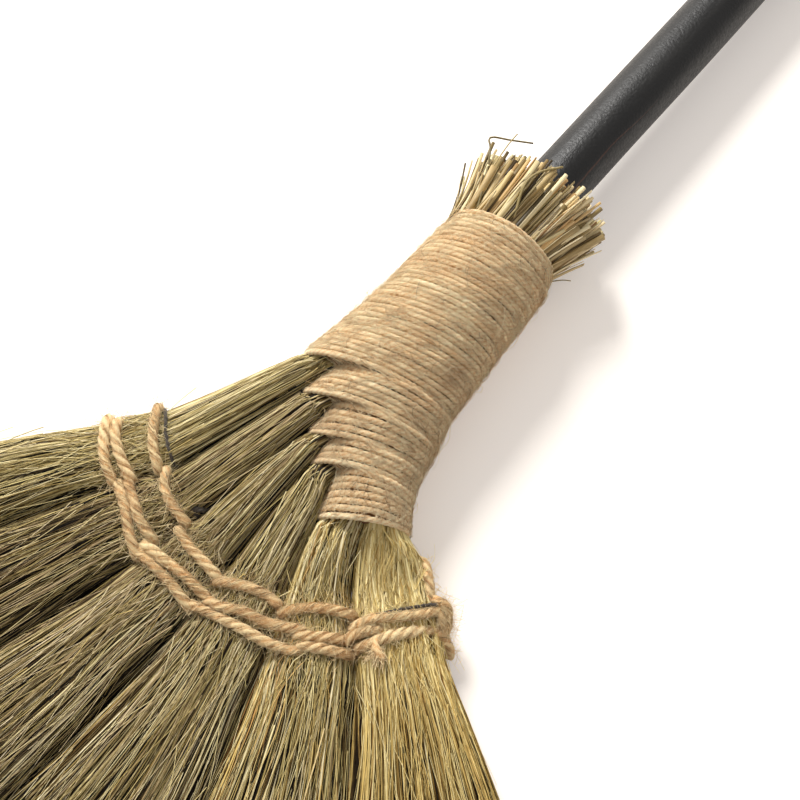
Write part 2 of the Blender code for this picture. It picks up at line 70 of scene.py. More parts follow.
# Half-height of the neck over its length, both as shares of the whole
NECK_HEIGHTS = ((0, 1), (0.34, 0.99), (0.55, 0.945), (0.63, 0.89), (0.71, 0.81), (0.79, 0.745), (0.93, 0.667),
                (1.2, 0.62))
SEW_HEIGHT = 12.0
SEWN_GAP = 1.2
STICK_RADIUS = 11.5
RIM_AXIS_HEIGHT = NECK_FLOOR + NECK_HALF_HEIGHT
STICK_OUTSIDE = 590.0
STICK_EDGE = 4.0
STICK_TILT = math.atan((RIM_AXIS_HEIGHT - STICK_RADIUS) / (STICK_OUTSIDE - STICK_EDGE))
BUNDLES = 6

MM = 0.001
LEAST_HEIGHT = 0.15
LINEAR_BELOW = 0.04045
BLACK_POINT = (0, 0, 0, 1)
FIBRE_SIDE = (0.31, 0.17, 0.93)
# A full turn, near enough for a random phase
PHASES = 6.28

# Section of each bundle where it leaves the winding: left x and y, right x and y, half-height, centre height and how
# much higher its right side is than its left one
EXITS = {
    1: ((-20, -70, -8, -74, 9, 21, 4), (-25.6, -81, -13, -84, 9.8, 21.5, 8),
        (-32, -91, -17.6, -93.5, 10.6, 17.2, 4)),
    2: ((-9, -80, -1, -84, 9.2, 20, 4), (-16.4, -93.5, -5, -96.8, 10, 20, 7),
        (-21, -101, -6.4, -104.6, 10.8, 16.6, 4)),
    3: ((-1, -92, 6, -94, 8, 18, 4), (-5.6, -104.8, 2.4, -107.6, 9.6, 18.4, 6),
        (-8.6, -112, 2.2, -114.8, 10.4, 15.8, 3)),
    4: ((8, -98, 14, -100, 7.8, 17, 4), (2.4, -112, 13.4, -115.4, 9.5, 17.8, 6),
        (1.4, -119, 17.2, -124.6, 10.4, 15.6, 3)),
    5: ((16, -100, 25, -96, 8.5, 16.5, 3), (18.6, -123, 31.6, -116.6, 11.4, 15.6, 4),
        (18.2, -131.5, 34.6, -124.6, 10.8, 15, 2)),
    6: ((23, -99, 31, -94, 8.5, 16.5, -3), (31.4, -116.6, 43.8, -109.8, 11.4, 15.6, -4),
        (34.4, -124.6, 53.6, -112.6, 10.2, 14.4, -2)),
}

# Half-thickness and centre height of the sewn fan over its radius. It is drawn in under the three rows.
FAN_PROFILE = ((62, 7.8, 12.6), (70, 6.3, 12), (75, 6.8, 12), (83, 6.2, 12), (93, 7.2, 11.6), (112, 8.4, 10.8),
               (145, 8.6, 10), (185, 8.5, 9.4), (228, 8.3, 8.8), (266, 8, 8.3))


def linear(red, green, blue):
    """A colour of the screen, 0 to 255, as the shader's linear colour."""
    shares = [value / 255 for value in (red, green, blue)]
    return [share / 12.92 if share <= LINEAR_BELOW else ((share + 0.055) / 1.055) ** 2.4 for share in shares] + [1.0]


def table(rows, where):
    """Values at places, between the rows (place, value) of a table."""
    return np.interp(where, *zip(*rows))


def polar(radius, angle):
    """A point of the fan, from its radius and its angle to the right of straight down, in degrees."""
    turn = np.radians(angle)
    return np.stack([SEWING_CENTRE[0] + radius * np.sin(turn), SEWING_CENTRE[1] - radius * np.cos(turn)], -1)


def normalised(vectors):
    return vectors / np.maximum(np.linalg.norm(vectors, axis=-1, keepdims=True), 1e-9)


def spline(points, places):
    """Smooth curves (n, m, 3) through points (n, m, 3), read at places (n, s) between 0 and m - 1."""
    count = points.shape[1]
    index = np.clip(np.floor(places).astype(int), 0, count - 2)
    share = (places - index)[..., None]
    rows = np.arange(points.shape[0])[:, None]
    before = points[rows, np.maximum(index - 1, 0)]
    start = points[rows, index]
    end = points[rows, index + 1]
    after = points[rows, np.minimum(index + 2, count - 1)]
    return 0.5 * (2 * start + (end - before) * share + (2 * before - 5 * start + 4 * end - after) * share ** 2
                  + (3 * start - before - 3 * end + after) * share ** 3)


def run_lengths(points):
    """The length of a path up to each of its points."""
    return np.concatenate([[0], np.cumsum(np.linalg.norm(np.diff(points, axis=0), axis=1))])


def along_line(points, count):
    """Points an even way apart on a line through points."""
    points = np.asarray(points, float)
    lengths = run_lengths(points)
    places = np.linspace(0, lengths[-1], count)
    return np.stack([np.interp(places, lengths, column) for column in points.T], -1)


def even_curve(points, step):
    """One smooth curve through points, as points an even step apart."""
    points = np.asarray(points, float)[None]
    fine = spline(points, np.linspace(0, points.shape[1] - 1, points.shape[1] * 40)[None])[0]
    return along_line(fine, max(int(run_lengths(fine)[-1] / step), 4))


def spans(begin, finish, shares):
    """Places (n, s) at shares of the way from begin (n) to finish (n)."""
    return begin[:, None] + (finish - begin)[:, None] * shares


def slow_noise(draw, count, width):
    """Random values that change slowly: a moving mean over width of them."""
    return np.convolve(draw.normal(0, 1, count + width - 1), np.ones(width) / width, "valid")


def curled(start, aim, curl, run, steps):
    """Fibres (n, s, 3) that leave their starts along aim and then curl."""
    steps = steps[None, :, None]
    return start[:, None] + aim[:, None] * run[:, None] * steps + curl[:, None] * run[:, None] * steps ** 2


def add_object(name, data):
    """A new object in the scene."""
    item = bpy.data.objects.new(name, data)
    bpy.context.scene.collection.objects.link(item)
    return item


class Builder:
    """Gathers tubes into one mesh, with their attributes and a tidy UV layout."""

    def __init__(self):
        self.blocks = []

    def tubes(self, centres, radii, sides, reference=(0, 0, 1), rows=1, weight=1.0, caps=False, lobes=0,
              lobe_depth=0.0, twist=None, across=1.0, **attributes):
        """Tubes along centres (n, s, 3). Lobes are the plies of a twine, which twist turns along it."""
        number, steps = centres.shape[:2]
        tangents = normalised(np.gradient(centres, axis=1))
        side = normalised(np.cross(tangents, np.asarray(reference, float)))
        up = np.cross(side, tangents)
        turn = np.broadcast_to(2 * np.pi * np.arange(sides) / sides, (number, steps, sides))
        reach = np.broadcast_to(np.asarray(radii, float)[..., None], turn.shape)
        values = {name: np.asarray(value, float) for name, value in attributes.items()}
        if lobes:
            crest = np.abs(np.cos(lobes * (turn - twist[..., None]) / 2))
            reach = reach * (1 - lobe_depth + lobe_depth * crest)
            values["crest"] = crest
        points = (centres[:, :, None] + (reach * np.cos(turn) * across)[..., None] * side[:, :, None]
                  + (reach * np.sin(turn))[..., None] * up[:, :, None])
        points[..., 2] = np.maximum(points[..., 2], LEAST_HEIGHT)
        self.blocks.append((points, values, rows, weight, caps))

    def piece(self, name, material, slot, replaced=()):
        """Makes the mesh object, which rides on the body and stands for the nodes that it replaces."""
        places, loops, sizes, uvs, attributes = [], [], [], [], {}
        names = sorted({key for block in self.blocks for key in block[1]})
        total = sum(block[3] for block in self.blocks)
        start, floor = 0, 0.0
        for points, values, rows, weight, caps in self.blocks:
            number, steps, sides = points.shape[:3]
            places.append(points.reshape(-1, 3))
            for key in names:
                value = values.get(key, np.zeros(number))
                while value.ndim < 3:
                    value = value[..., None]
                attributes.setdefault(key, []).append(np.broadcast_to(value, (number, steps, sides)).ravel())
            grid = start + np.arange(number * steps * sides).reshape(number, steps, sides)
            after = np.roll(grid, -1, axis=2)
            quads = np.stack([grid[:, :-1], after[:, :-1], after[:, 1:], grid[:, 1:]], -1).reshape(-1, 4)
            height = weight / total
            columns = math.ceil(number / rows)
            strand = np.arange(number)
            left = (strand % columns) / columns
            base = floor + height * (strand // columns) / rows
            around = np.arange(sides) / sides
            along = np.arange(steps - 1) / (steps - 1)
            width, tall = 0.92 / columns, 0.94 * height / rows
            u_low, v_low = np.broadcast_arrays(left[:, None, None] + width * around,
                                               base[:, None, None] + tall * along[:, None])
            u_step, v_step = width / sides, tall / (steps - 1)
            uv = np.stack([np.stack([u_low + a * u_step, v_low + b * v_step], -1)
                           for a, b in ((0, 0), (1, 0), (1, 1), (0, 1))], -2)
            loops.append(quads.ravel())
            sizes.append(np.full(len(quads), 4))
            uvs.append(uv.reshape(-1, 2))
            if caps:
                ends = np.concatenate([grid[:, 0, ::-1], grid[:, -1]])
                loops.append(ends.ravel())
                sizes.append(np.full(len(ends), sides))
                turn = 2 * np.pi * around
                middle = np.stack([np.concatenate([left, left]) + width / 2,
                                   np.concatenate([base + tall * 0.02, base + tall * 0.98])], -1)
                ring = np.stack([width * 0.4 * np.cos(turn), tall * 0.015 * np.sin(turn)], -1)
                uvs.append((middle[:, None] + ring[None]).reshape(-1, 2))
            start += number * steps * sides
            floor += height
        loops = np.concatenate(loops).astype(np.int32)
        sizes = np.concatenate(sizes)
        mesh = bpy.data.meshes.new(name)
        vertices = (np.concatenate(places) * MM + ORIGIN).astype(np.float32)
        mesh.vertices.add(len(vertices))
        mesh.vertices.foreach_set("co", vertices.ravel())
        mesh.loops.add(len(loops))
        mesh.loops.foreach_set("vertex_index", loops)
        mesh.polygons.add(len(sizes))
        mesh.polygons.foreach_set("loop_start", np.concatenate([[0], np.cumsum(sizes)[:-1]]).astype(np.int32))
        mesh.update(calc_edges=True)
        layer = mesh.uv_layers.new(name="OFBake")
        layer.data.foreach_set("uv", np.concatenate(uvs).astype(np.float32).ravel())
        for key, parts in attributes.items():
            attribute = mesh.attributes.new(key, "FLOAT", "POINT")
            attribute.data.foreach_set("value", np.concatenate(parts).astype(np.float32))
        mesh.shade_smooth()
        mesh.materials.append(material)
        piece = add_object(name, mesh)
        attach(piece, "root")
        if replaced:
            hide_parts(*replaced)


class Nodes:
    """A short way to write a node tree, whose main node is there already."""

    def __init__(self, tree, main):
        self.tree = tree
        self.main = tree.nodes[main]

    def node(self, kind, links=(), **settings):
        node = self.tree.nodes.new(kind)
        for key, value in settings.items():
            setattr(node, key, value)
        for socket, value in dict(links).items():
            if isinstance(value, bpy.types.NodeSocket):
                self.tree.links.new(value, node.inputs[socket])
            else:
                node.inputs[socket].default_value = value
        return node

    def attribute(self, name):
        return self.node("ShaderNodeAttribute", attribute_name=name).outputs["Fac"]

    def math(self, operation, first, second=0.0, third=0.0):
        return self.node("ShaderNodeMath", {0: first, 1: second, 2: third}, operation=operation).outputs[0]

    def place(self):
        return self.node("ShaderNodeTexCoord").outputs["Object"]

    def scaled(self, value, gain, offset):
        return self.math("MULTIPLY_ADD", value, gain, offset)

    def noise(self, scale, detail=3.0, roughness=0.5, stretch=(1, 1, 1)):
        mapped = self.node("ShaderNodeMapping", {"Vector": self.place(), "Scale": stretch}).outputs[0]
        links = {"Vector": mapped, "Scale": scale, "Detail": detail, "Roughness": roughness}
        return self.node("ShaderNodeTexNoise", links).outputs["Fac"]

    def ramp(self, value, *stops):
        """A ramp through linear colours (place, colour)."""
        node = self.node("ShaderNodeValToRGB", {"Fac": value})
        elements = node.color_ramp.elements
        elements[0].position, elements[0].color = stops[0]
        elements[1].position, elements[1].color = stops[-1]
        for position, colour in stops[1:-1]:
            element = elements.new(position)
            element.color = colour
        return node.outputs["Color"]

    def screen_ramp(self, value, *stops):
        """A ramp through colours of the screen."""
        return self.ramp(value, *((place, linear(*colour)) for place, colour in stops))

    def mask(self, value, low, high, most=1.0):
        """Nothing up to low, and most from high on."""
        return self.ramp(value, (low, BLACK_POINT), (high, (most, most, most, 1)))

    def mix(self, share, first, second, blend="MIX"):
        links = {0: share, 6: first, 7: second}
        return self.node("ShaderNodeMix", links, data_type="RGBA", blend_type=blend).outputs[2]

    def link(self, socket, value):
        self.tree.links.new(value, self.main.inputs[socket])

    def bump(self, height, distance, strength=1.0):
        links = {"Height": height, "Distance": distance, "Strength": strength}
        self.link("Normal", self.node("ShaderNodeBump", links).outputs[0])


class Shader(Nodes):
    """The nodes of a new material."""

    def __init__(self, name, **sockets):
        self.material = bpy.data.materials.new(name)
        self.material.use_nodes = True
        super().__init__(self.material.node_tree, "Principled BSDF")
        for socket, value in sockets.items():
            self.main.inputs[socket.replace("_", " ")].default_value = value


def grass_material():
    """Dried stems: each has its own tone, from dark to pale, which also carries painted shade, and its hue: taupe -1,
    olive 0, golden 1, rust 2.
    """
    shader = Shader("dried_grass", Roughness=0.6, Specular_IOR_Level=0.2)
    tone, hue = shader.attribute("tone"), shader.attribute("hue")
    streak = shader.noise(420, 4, 0.6, (1, 0.12, 1))
    patch = shader.noise(28, 2, 0.5)
    level = shader.scaled(streak, 0.34, shader.scaled(patch, 0.16, tone))
    level = shader.math("SUBTRACT", level, 0.25)
    places = (0.0, 0.22, 0.48, 0.74, 1.0)
    olive, golden, taupe, rust = (shader.screen_ramp(level, *zip(places, colours)) for colours in (
        ((20, 13, 4), (86, 70, 35), (158, 141, 88), (205, 189, 134), (242, 229, 184)),
        ((32, 19, 5), (118, 88, 39), (190, 157, 86), (227, 198, 122), (249, 230, 166)),
        ((20, 13, 7), (88, 68, 41), (160, 135, 96), (208, 186, 146), (243, 228, 194)),
        ((30, 16, 5), (124, 82, 40), (196, 146, 86), (228, 188, 124), (250, 224, 168))))
    colour = shader.mix(hue, olive, golden)
    colour = shader.mix(shader.math("SUBTRACT", hue, 1.0), colour, rust)
    shader.link("Base Color", shader.mix(shader.math("MULTIPLY", hue, -1.0), colour, taupe))
    shader.bump(shader.noise(900, 3, 0.6, (1, 0.2, 1)), 0.0003, 0.5)
    return shader.material


def straw_material():
    """Cut stalks: thicker, paler and shinier than the fan's stems. Their hue: pale 0, green 1, brown 2."""
    shader = Shader("straw_stalks", Roughness=0.5, Specular_IOR_Level=0.4)
    tone, hue = shader.attribute("tone"), shader.attribute("hue")
    streak = shader.noise(600, 4, 0.6, (1, 0.08, 1))
    level = shader.math("SUBTRACT", shader.scaled(streak, 0.4, tone), 0.2)
    pale = shader.screen_ramp(level, (0.0, (60, 44, 18)), (0.3, (150, 124, 76)), (0.62, (215, 188, 137)),
                              (1.0, (245, 228, 187)))
    green = shader.screen_ramp(level, (0.0, (38, 29, 10)), (0.4, (118, 104, 60)), (1.0, (200, 186, 134)))
    brown = shader.screen_ramp(level, (0.0, (66, 40, 16)), (0.4, (152, 104, 56)), (1.0, (218, 168, 108)))
    colour = shader.mix(hue, pale, green)
    shader.link("Base Color", shader.mix(shader.math("SUBTRACT", hue, 1.0), colour, brown))
    shader.bump(shader.noise(1200, 3, 0.6, (1, 0.1, 1)), 0.0003, 0.5)
    return shader.material


def jute_material(name, dark, middle, light, crest_gain=0.42, stained=(0.62, 0.42, 0.27, 1)):
    """Twisted jute: grooves between the plies darker than the crests, as painted shade, and fine fibres along them.
    """
    shader = Shader(name, Roughness=0.92, Specular_IOR_Level=0.15, Sheen_Weight=0.25, Sheen_Roughness=0.6)
    shader.main.inputs["Sheen Tint"].default_value = (1.0, 0.9, 0.75, 1)
    crest, tone = shader.attribute("crest"), shader.attribute("tone")
    fibre = shader.noise(1900, 5, 0.75)
    patch = shader.noise(55, 3, 0.55)
    # On the twines the crest value makes the grooves between the plies darker than the crests: painted shade in the
    # grooves. On loose fibres it is set at random and acts as a tone.
    level = shader.scaled(crest, crest_gain, shader.math("MULTIPLY", fibre, 1.25))
    level = shader.math("ADD", level, shader.scaled(patch, 0.36, tone))
    level = shader.math("SUBTRACT", level, 0.66)
    colour = shader.screen_ramp(level, (0.0, dark), (0.42, middle), (0.95, light))
    stain = shader.mask(shader.noise(38, 4, 0.6), 0.5, 0.72, 0.42)
    shader.link("Base Color", shader.mix(stain, colour, stained, "MULTIPLY"))
    shader.bump(shader.noise(2600, 4, 0.75), 0.0007, 0.9)
    return shader.material


GRASS = grass_material()
STRAW = straw_material()
JUTE = jute_material("jute_winding", (124, 82, 42), (238, 194, 139), (255, 239, 198))
TWINE = jute_material("jute_twine", (108, 65, 30), (234, 181, 120), (255, 232, 180), 0.46)
BLACK = jute_material("black_cord_fibre", (18, 16, 15), (46, 42, 38), (88, 80, 72), stained=(0.8, 0.8, 0.8, 1))


def bundle_sections(bundle):
    """A bundle's sections from the winding to the fan's edge: left, right, half-height, centre height, tilt."""
    rows = [((x1, y1), (x2, y2), half, centre, tilt) for x1, y1, x2, y2, half, centre, tilt in EXITS[bundle]]
    for radius, half, centre in FAN_PROFILE:
        gap = SEWN_GAP
        if radius <= SEWN_END_RADIUS:
            share = (radius - SEWN_START_RADIUS) / (SEWN_END_RADIUS - SEWN_START_RADIUS)
            low, high = SEWN_START_ANGLES, SEWN_END_ANGLES
        else:
            share = (radius - SEWN_END_RADIUS) / (TIP_RADIUS - SEWN_END_RADIUS)
            low, high = SEWN_END_ANGLES, TIP_ANGLES
            gap = SEWN_GAP - SEWN_GAP * min(share * 3, 1) + 2.0 * math.exp(-((radius - 110) / 16) ** 2)
        cuts = [start + (end - start) * share for start, end in zip(low, high)]
        inset = math.degrees(gap / 2 / radius)
        left = polar(radius, cuts[bundle - 1] + (inset if bundle > 1 else 0))
        right = polar(radius, cuts[bundle] - (inset if bundle < BUNDLES else 0))
        rows.append((left, right, half, centre, 0))
    return [np.array(column, float) for column in zip(*rows)]


def bundle_rise(across):
    """The height of a bundle's section over its width: a flat crown with round shoulders."""
    side = np.abs(2 * np.clip(across, 0, 1) - 1)
    return np.maximum(1 - side ** 2.7 * 0.985, 0.015) ** 0.45


def place_in_bundle(sections, across, height, offsets):
    """Points (n, m, 3) at the sections: across 0 to 1 from the left, height -1 to 1, and sideways offsets in mm."""
    lefts, rights, halves, centres, tilts = sections
    width = np.linalg.norm(rights - lefts, axis=1)
    across = across[:, None] + offsets / width
    across[:, :3] = np.clip(across[:, :3], 0.03, 0.97)
    inside = np.clip(across, 0, 1)
    across = inside + (across - inside) * 0.35
    place = lefts + (rights - lefts) * across[..., None]
    level = centres + tilts * (across - 0.5) + height[:, None] * halves * bundle_rise(across)
    return np.concatenate([place, level[..., None]], -1)


# Of each bundle: the middle and the spread of its hue, its tone above and below the sewing, its share of dark stems
LOOKS = {1: (-0.05, 0.3, 0.60, 0.28, 0.32), 2: (-0.45, 0.45, 0.30, 0.22, 0.42), 3: (-0.5, 0.45, 0.40, 0.38, 0.38),
         4: (-0.35, 0.45, 0.52, 0.50, 0.36), 5: (0.1, 0.4, 0.68, 0.35, 0.24), 6: (0.7, 0.25, 1.06, 0.29, 0.12)}
# Of each bundle: its stems and the clumps that they stand in, its fine stems, the dark ones that lie under the gap to
# the next bundle as painted shade in the gap, and its strays
STEMS, CLUMPS, FINE_STEMS, UNDERLAY_STEMS, STRAYS = 2400, 170, 800, 90, 30


def make_grass(bundle):
    """One bundle of stems that thin to hairs, with fine and stray stems, and dark gap stems and a dark core as
    painted shade.
    """
    draw = np.random.default_rng(100 + bundle)
    sections = bundle_sections(bundle)
    count = len(sections[0])
    level = np.arange(count)
    hue_middle, hue_spread, upper, lower, dark_share = LOOKS[bundle]
    builder = Builder()
    number = STEMS
    clump = draw.integers(0, CLUMPS, number)
    across = draw.uniform(0.0, 1.0, CLUMPS)[clump] + draw.normal(0, 0.010, number)
    height = draw.uniform(-1.0, 1.0, CLUMPS)[clump] + draw.normal(0, 0.05, number)
    loose = draw.uniform(size=number) < 0.3
    across[loose] = draw.uniform(0.0, 1.0, loose.sum())
    height[loose] = draw.uniform(-1.0, 1.0, loose.sum())
    across = np.clip(across, 0.0, 1.0)
    inner = (np.abs(height) < 0.5) & (across > 0.12) & (across < 0.88)
    height[inner] += 0.5 * np.sign(height[inner])
    spread = np.interp(level, [0, 2, 3, 7, 9, count - 1], [0.5, 0.6, 0.7, 0.7, 1.5, 3.2])
    shared = draw.normal(0, 1, (CLUMPS, count))[clump]
    offsets = (0.75 * shared + 0.35 * draw.normal(0, 1, (number, count))) * spread * 0.6
    lean = 0.85 * draw.normal(0, 1, (CLUMPS, 1))[clump] + 0.4 * draw.normal(0, 1, (number, 1))
    slant = lean * np.interp(level, [0, 2, 6, count - 1], [-3.0, -1.6, 0.5, 6.0])
    control = place_in_bundle(sections, across, height, offsets + slant * 0.55)
    control[..., 2] += draw.normal(0, 1, (number, count)) * spread * 0.22
    ends = count - 1 - draw.beta(1.3, 3.0, number) * 1.35
    starts = np.zeros(number)
    late = draw.uniform(size=number) < 0.18
    starts[late] = draw.uniform(1.5, 4.0, late.sum())
    places = spans(starts, ends, np.linspace(0, 1, 17) ** 0.9)
    centres = spline(control, places)
    thick = np.where(draw.uniform(size=number) < 0.3, draw.uniform(0.4, 0.64, number),
                     draw.uniform(0.18, 0.38, number))
    chance = draw.uniform(size=number)
    dark = chance < dark_share
    thick = np.where(dark, np.minimum(thick, 0.4), thick)
    radii = thick[:, None] * np.interp(places / (count - 1), [0, 0.5, 0.75, 1.0], [1.05, 0.92, 0.72, 0.25])
    radii[:, -1] *= 0.3
    tone = 0.13 * draw.normal(0, 1, CLUMPS)[clump] + draw.normal(0, 0.25, number)
    tone = np.where(dark, draw.uniform(-0.7, -0.35, number), tone)
    tone = np.where(chance > 0.9, draw.uniform(0.3, 0.55, number), tone)
    hue = draw.normal(hue_middle, hue_spread, number) + (draw.uniform(size=number) < 0.12) * 0.4
    if bundle == 5:
        hue += 1.5 * (across < 0.13)
    hue = np.clip(hue, -1, 2)
    # Stems that lie deeper inside the bundle are darker: painted shade between the stems.
    tone = tone - 0.35 * np.clip((0.85 - np.abs(height)) / 0.3, 0, 1)
    # Stems along a side shared with the next bundle are darker: painted shade in the groove between the bundles.
    beside = np.minimum(across if bundle > 1 else 1.0, (1 - across) if bundle < BUNDLES else 1.0)
    tone = tone - 0.5 * np.exp(-(beside / 0.035) ** 2)
    tone = tone[:, None] + np.interp(places, [0, 2, 5, 9], [upper - 0.15, upper, upper, lower])
    builder.tubes(centres, radii, 3, rows=5, weight=8, tone=np.clip(tone, -0.1, 1.05), hue=hue)

    number = FINE_STEMS
    across = draw.uniform(-0.03, 1.03, number)
    height = np.sign(draw.uniform(-0.6, 1, number)) * draw.uniform(0.95, 1.12, number)
    swing = draw.normal(0, 1, (number, count)) * np.maximum(spread, 1.3) * 1.6
    control = place_in_bundle(sections, across, height, swing)
    control[..., 2] += np.abs(draw.normal(0, 1, (number, count))) * 0.6
    begin = draw.uniform(1.0, count - 3, number)
    finish = np.minimum(begin + draw.uniform(0.8, 3.0, number), count - 1.05)
    centres = spline(control, spans(begin, finish, np.linspace(0, 1, 9)))
    builder.tubes(centres, draw.uniform(0.09, 0.20, (number, 1)) * np.linspace(1, 0.4, 9), 3, rows=2,
                  tone=draw.uniform(0.35, 0.95, number) + min((upper - 0.5) * 0.5, 0.04), hue=hue[:number])

    # Dark stems under the gap to the next bundle: painted shade in the gap.
    if bundle < BUNDLES:
        number = UNDERLAY_STEMS
        across = draw.uniform(0.99, 1.3, number)
        control = place_in_bundle(sections, across, draw.uniform(-1, 0, number), draw.normal(0, 0.5, (number, count)))
        control[..., 2] -= draw.uniform(1.5, 6.0, (number, 1))
        centres = spline(control, np.tile(np.linspace(4.5, count - 2.0, 13), (number, 1)))
        builder.tubes(centres, draw.uniform(0.3, 0.5, (number, 1)) * np.linspace(1, 0.6, 13), 3, rows=4,
                      tone=draw.uniform(-0.1, 0.2, number), hue=hue[:number])

    number = STRAYS
    begin = draw.uniform(2.0, count - 3.5, number)
    finish = np.minimum(begin + draw.uniform(1.0, 2.4, number), count - 1.1)
    swerve = draw.choice([-1.0, 1.0], number) * draw.uniform(4.0, 13.0, number)
    control = place_in_bundle(sections, draw.uniform(0.1, 0.9, number), draw.uniform(1.04, 1.14, number),
                              np.zeros((number, count)))
    steps = np.linspace(0, 1, 11)
    centres = spline(control, spans(begin, finish, steps))
    sideways = normalised(np.cross(np.gradient(centres, axis=1), [0.0, 0.0, 1.0]))
    bow = swerve[:, None] * (steps - 0.5) + draw.normal(0, 1.6, (number, 1)) * np.sin(steps * np.pi)
    centres = centres + sideways * bow[..., None]
    centres[..., 2] = np.minimum(centres[..., 2], sections[3].max() + sections[2].max() + 1.5)
    builder.tubes(centres, draw.uniform(0.14, 0.24, (number, 1)) * np.linspace(1, 0.5, 11), 3, weight=0.5,
                  tone=draw.uniform(0.5, 0.95, number), hue=hue[:number])

    # A dark core inside the bundle, seen through the gaps between the stems: painted shade.
    sides, rings = 16, 24
    turns = 2 * np.pi * np.arange(sides) / sides
    walls = place_in_bundle(sections, 0.5 + 0.42 * np.cos(turns), 0.55 * np.sin(turns), np.zeros((sides, count)))
    walls = spline(walls, np.tile(np.linspace(0.2, count - 1.6, rings), (sides, 1)))
    core = np.swapaxes(walls, 0, 1)[None]
    tips = [np.repeat(core[:, ring].mean(axis=2, keepdims=True), sides, 2) for ring in (slice(0, 1), slice(-1, None))]
    core = np.concatenate([tips[0], core, tips[1]], axis=1)
    core[..., 2] = np.maximum(core[..., 2], 0.6)
    builder.blocks.append((core, {"tone": np.array([-0.4]), "hue": np.array([hue_middle])}, 1, 0.6, False))
    builder.piece(f"grass_{bundle}", GRASS, "dry_grass", (f"grass_bundle_{bundle}",))


# Cut ends: whole stalks, flat strips and thin stems
WHOLE_STALKS, STRIPS, THIN_STALKS = 470, 210, 320


def make_stalks():
    """The cut ends of the stalks, spread round the stick: whole stalks, split ones and thin leaf strips."""
    draw = np.random.default_rng(11)
    builder = Builder()

    def ends(number, inner_share, outer_share, length, spread, flare, wander):
        turn = draw.uniform(0, 2 * np.pi, number)
        share = np.sqrt(draw.uniform(inner_share ** 2, outer_share ** 2, number))
        inner = np.stack([(STICK_RADIUS + 1.0) * np.cos(turn), (STICK_RADIUS + 1.0) * np.sin(turn)], -1)
        outer = np.stack([20.6 * np.cos(turn), 17.2 * np.sin(turn)], -1)
        root = inner + (outer - inner) * share[:, None]
        reach = length + np.clip(draw.normal(0, spread, number), -3 * spread, 1.3 * spread)
        reach -= 5.0 * np.clip(-np.cos(turn), 0, 1) * share
        lean = np.stack([np.cos(turn) * (flare[0] + draw.normal(0, wander, number)),
                         np.sin(turn) * (flare[1] + draw.normal(0, wander, number))], -1)
        lean += draw.normal(0, wander * 0.6, (number, 2))
        lean *= (0.25 + 0.95 * share)[:, None]
        steps = np.linspace(0, 1, 6)[None, :, None]
        place = root[:, None] + lean[:, None] * steps ** 1.5
        along = -13.0 + steps[..., 0] * (reach + 13.0)[:, None]
        height = RIM_AXIS_HEIGHT + place[..., 1] - along * math.tan(STICK_TILT)
        height = np.where(height > 39, 39 + (height - 39) * 0.5, height)
        return np.stack([place[..., 0], along, height], -1)

    def colours(number, middle, spread):
        hue = np.where(draw.uniform(size=number) < 0.14, draw.uniform(1.2, 1.9, number),
                       np.clip(draw.normal(0.3, 0.35, number), 0, 1))
        tone = draw.normal(middle, spread, number)
        tone = np.where(draw.uniform(size=number) < 0.16, tone - 0.45, tone)
        tone = np.clip(tone, -0.1, 1.05)[:, None]
        # Each stalk is darker towards its root, where it leaves the winding: painted shade.
        return {"tone": tone + (-0.35, -0.22, -0.04, 0, 0.03, 0.05), "hue": hue}

    number = WHOLE_STALKS
    centres = ends(number, 0.0, 1.0, 24.0, 4.4, (5.5, 2.6), 2.1)
    thick = np.where(draw.uniform(size=number) < 0.2, draw.uniform(0.95, 1.35, number),
                     draw.uniform(0.35, 0.9, number))
    builder.tubes(centres, thick[:, None] * (0.9, 1, 1, 1, 1.02, 1.02), 7, rows=4, weight=5, caps=True,
                  **colours(number, 0.74, 0.27))

    centres = ends(STRIPS, 0.15, 1.03, 22.0, 5.5, (6.0, 3.0), 2.5)
    radii = draw.uniform(0.7, 1.8, (STRIPS, 1)) * (0.8, 1, 1, 0.95, 0.9, 0.75)
    builder.tubes(centres, radii, 4, rows=2, weight=2, caps=True, across=0.28, **colours(STRIPS, 0.74, 0.24))

    centres = ends(THIN_STALKS, 0.1, 0.95, 20.0, 5.0, (5.0, 3.0), 2.6)
    radii = draw.uniform(0.16, 0.36, (THIN_STALKS, 1)) * (1, 1, 0.9, 0.8, 0.6, 0.4)
    builder.tubes(centres, radii, 3, rows=2, **colours(THIN_STALKS, 0.64, 0.3))

    # Stalks that stand out: radius, tone, hue and points
    for radius, tone, hue, *points in (
            (0.5, 0.25, 0.9, (-11, -4, 37), (-17, 9, 38), (-24, 21, 36.5), (-28, 26.2, 35),
             (-21.3, 30.6, 34.6), (-14.1, 35.2, 34.2)),
            (0.36, 0.5, 0.5, (-13, -4, 35), (-17.6, 12, 37.4), (-19.8, 25, 37.6), (-20.4, 33, 37)),
            (0.55, 0.25, 1.1, (17.5, -5, 13.5), (21, 4, 13), (24, 14, 13.4), (26, 24.6, 14)),
            (0.3, 0.5, 0.9, (17, -5, 14), (21.4, 2, 12.6), (25, 7, 11.4), (27.6, 9.4, 10.4)),
            (0.45, 0.25, 0.5, (-18.5, -5, 24), (-22.6, 5, 25), (-25.8, 13, 26), (-28.2, 20, 28)),
            (0.6, 0.5, 1.1, (2, 2, 39.5), (-3, 14, 42.5), (-2.4, 22, 42.5), (3, 30, 42))):
        path = even_curve(points, 1.6)
        builder.tubes(path[None], np.linspace(1.0, 0.7, len(path))[None] * radius, 7, weight=0.1, caps=True,
                      tone=[tone], hue=[hue])
    builder.piece("stalks", STRAW, "straw", ("stalk_ends",))


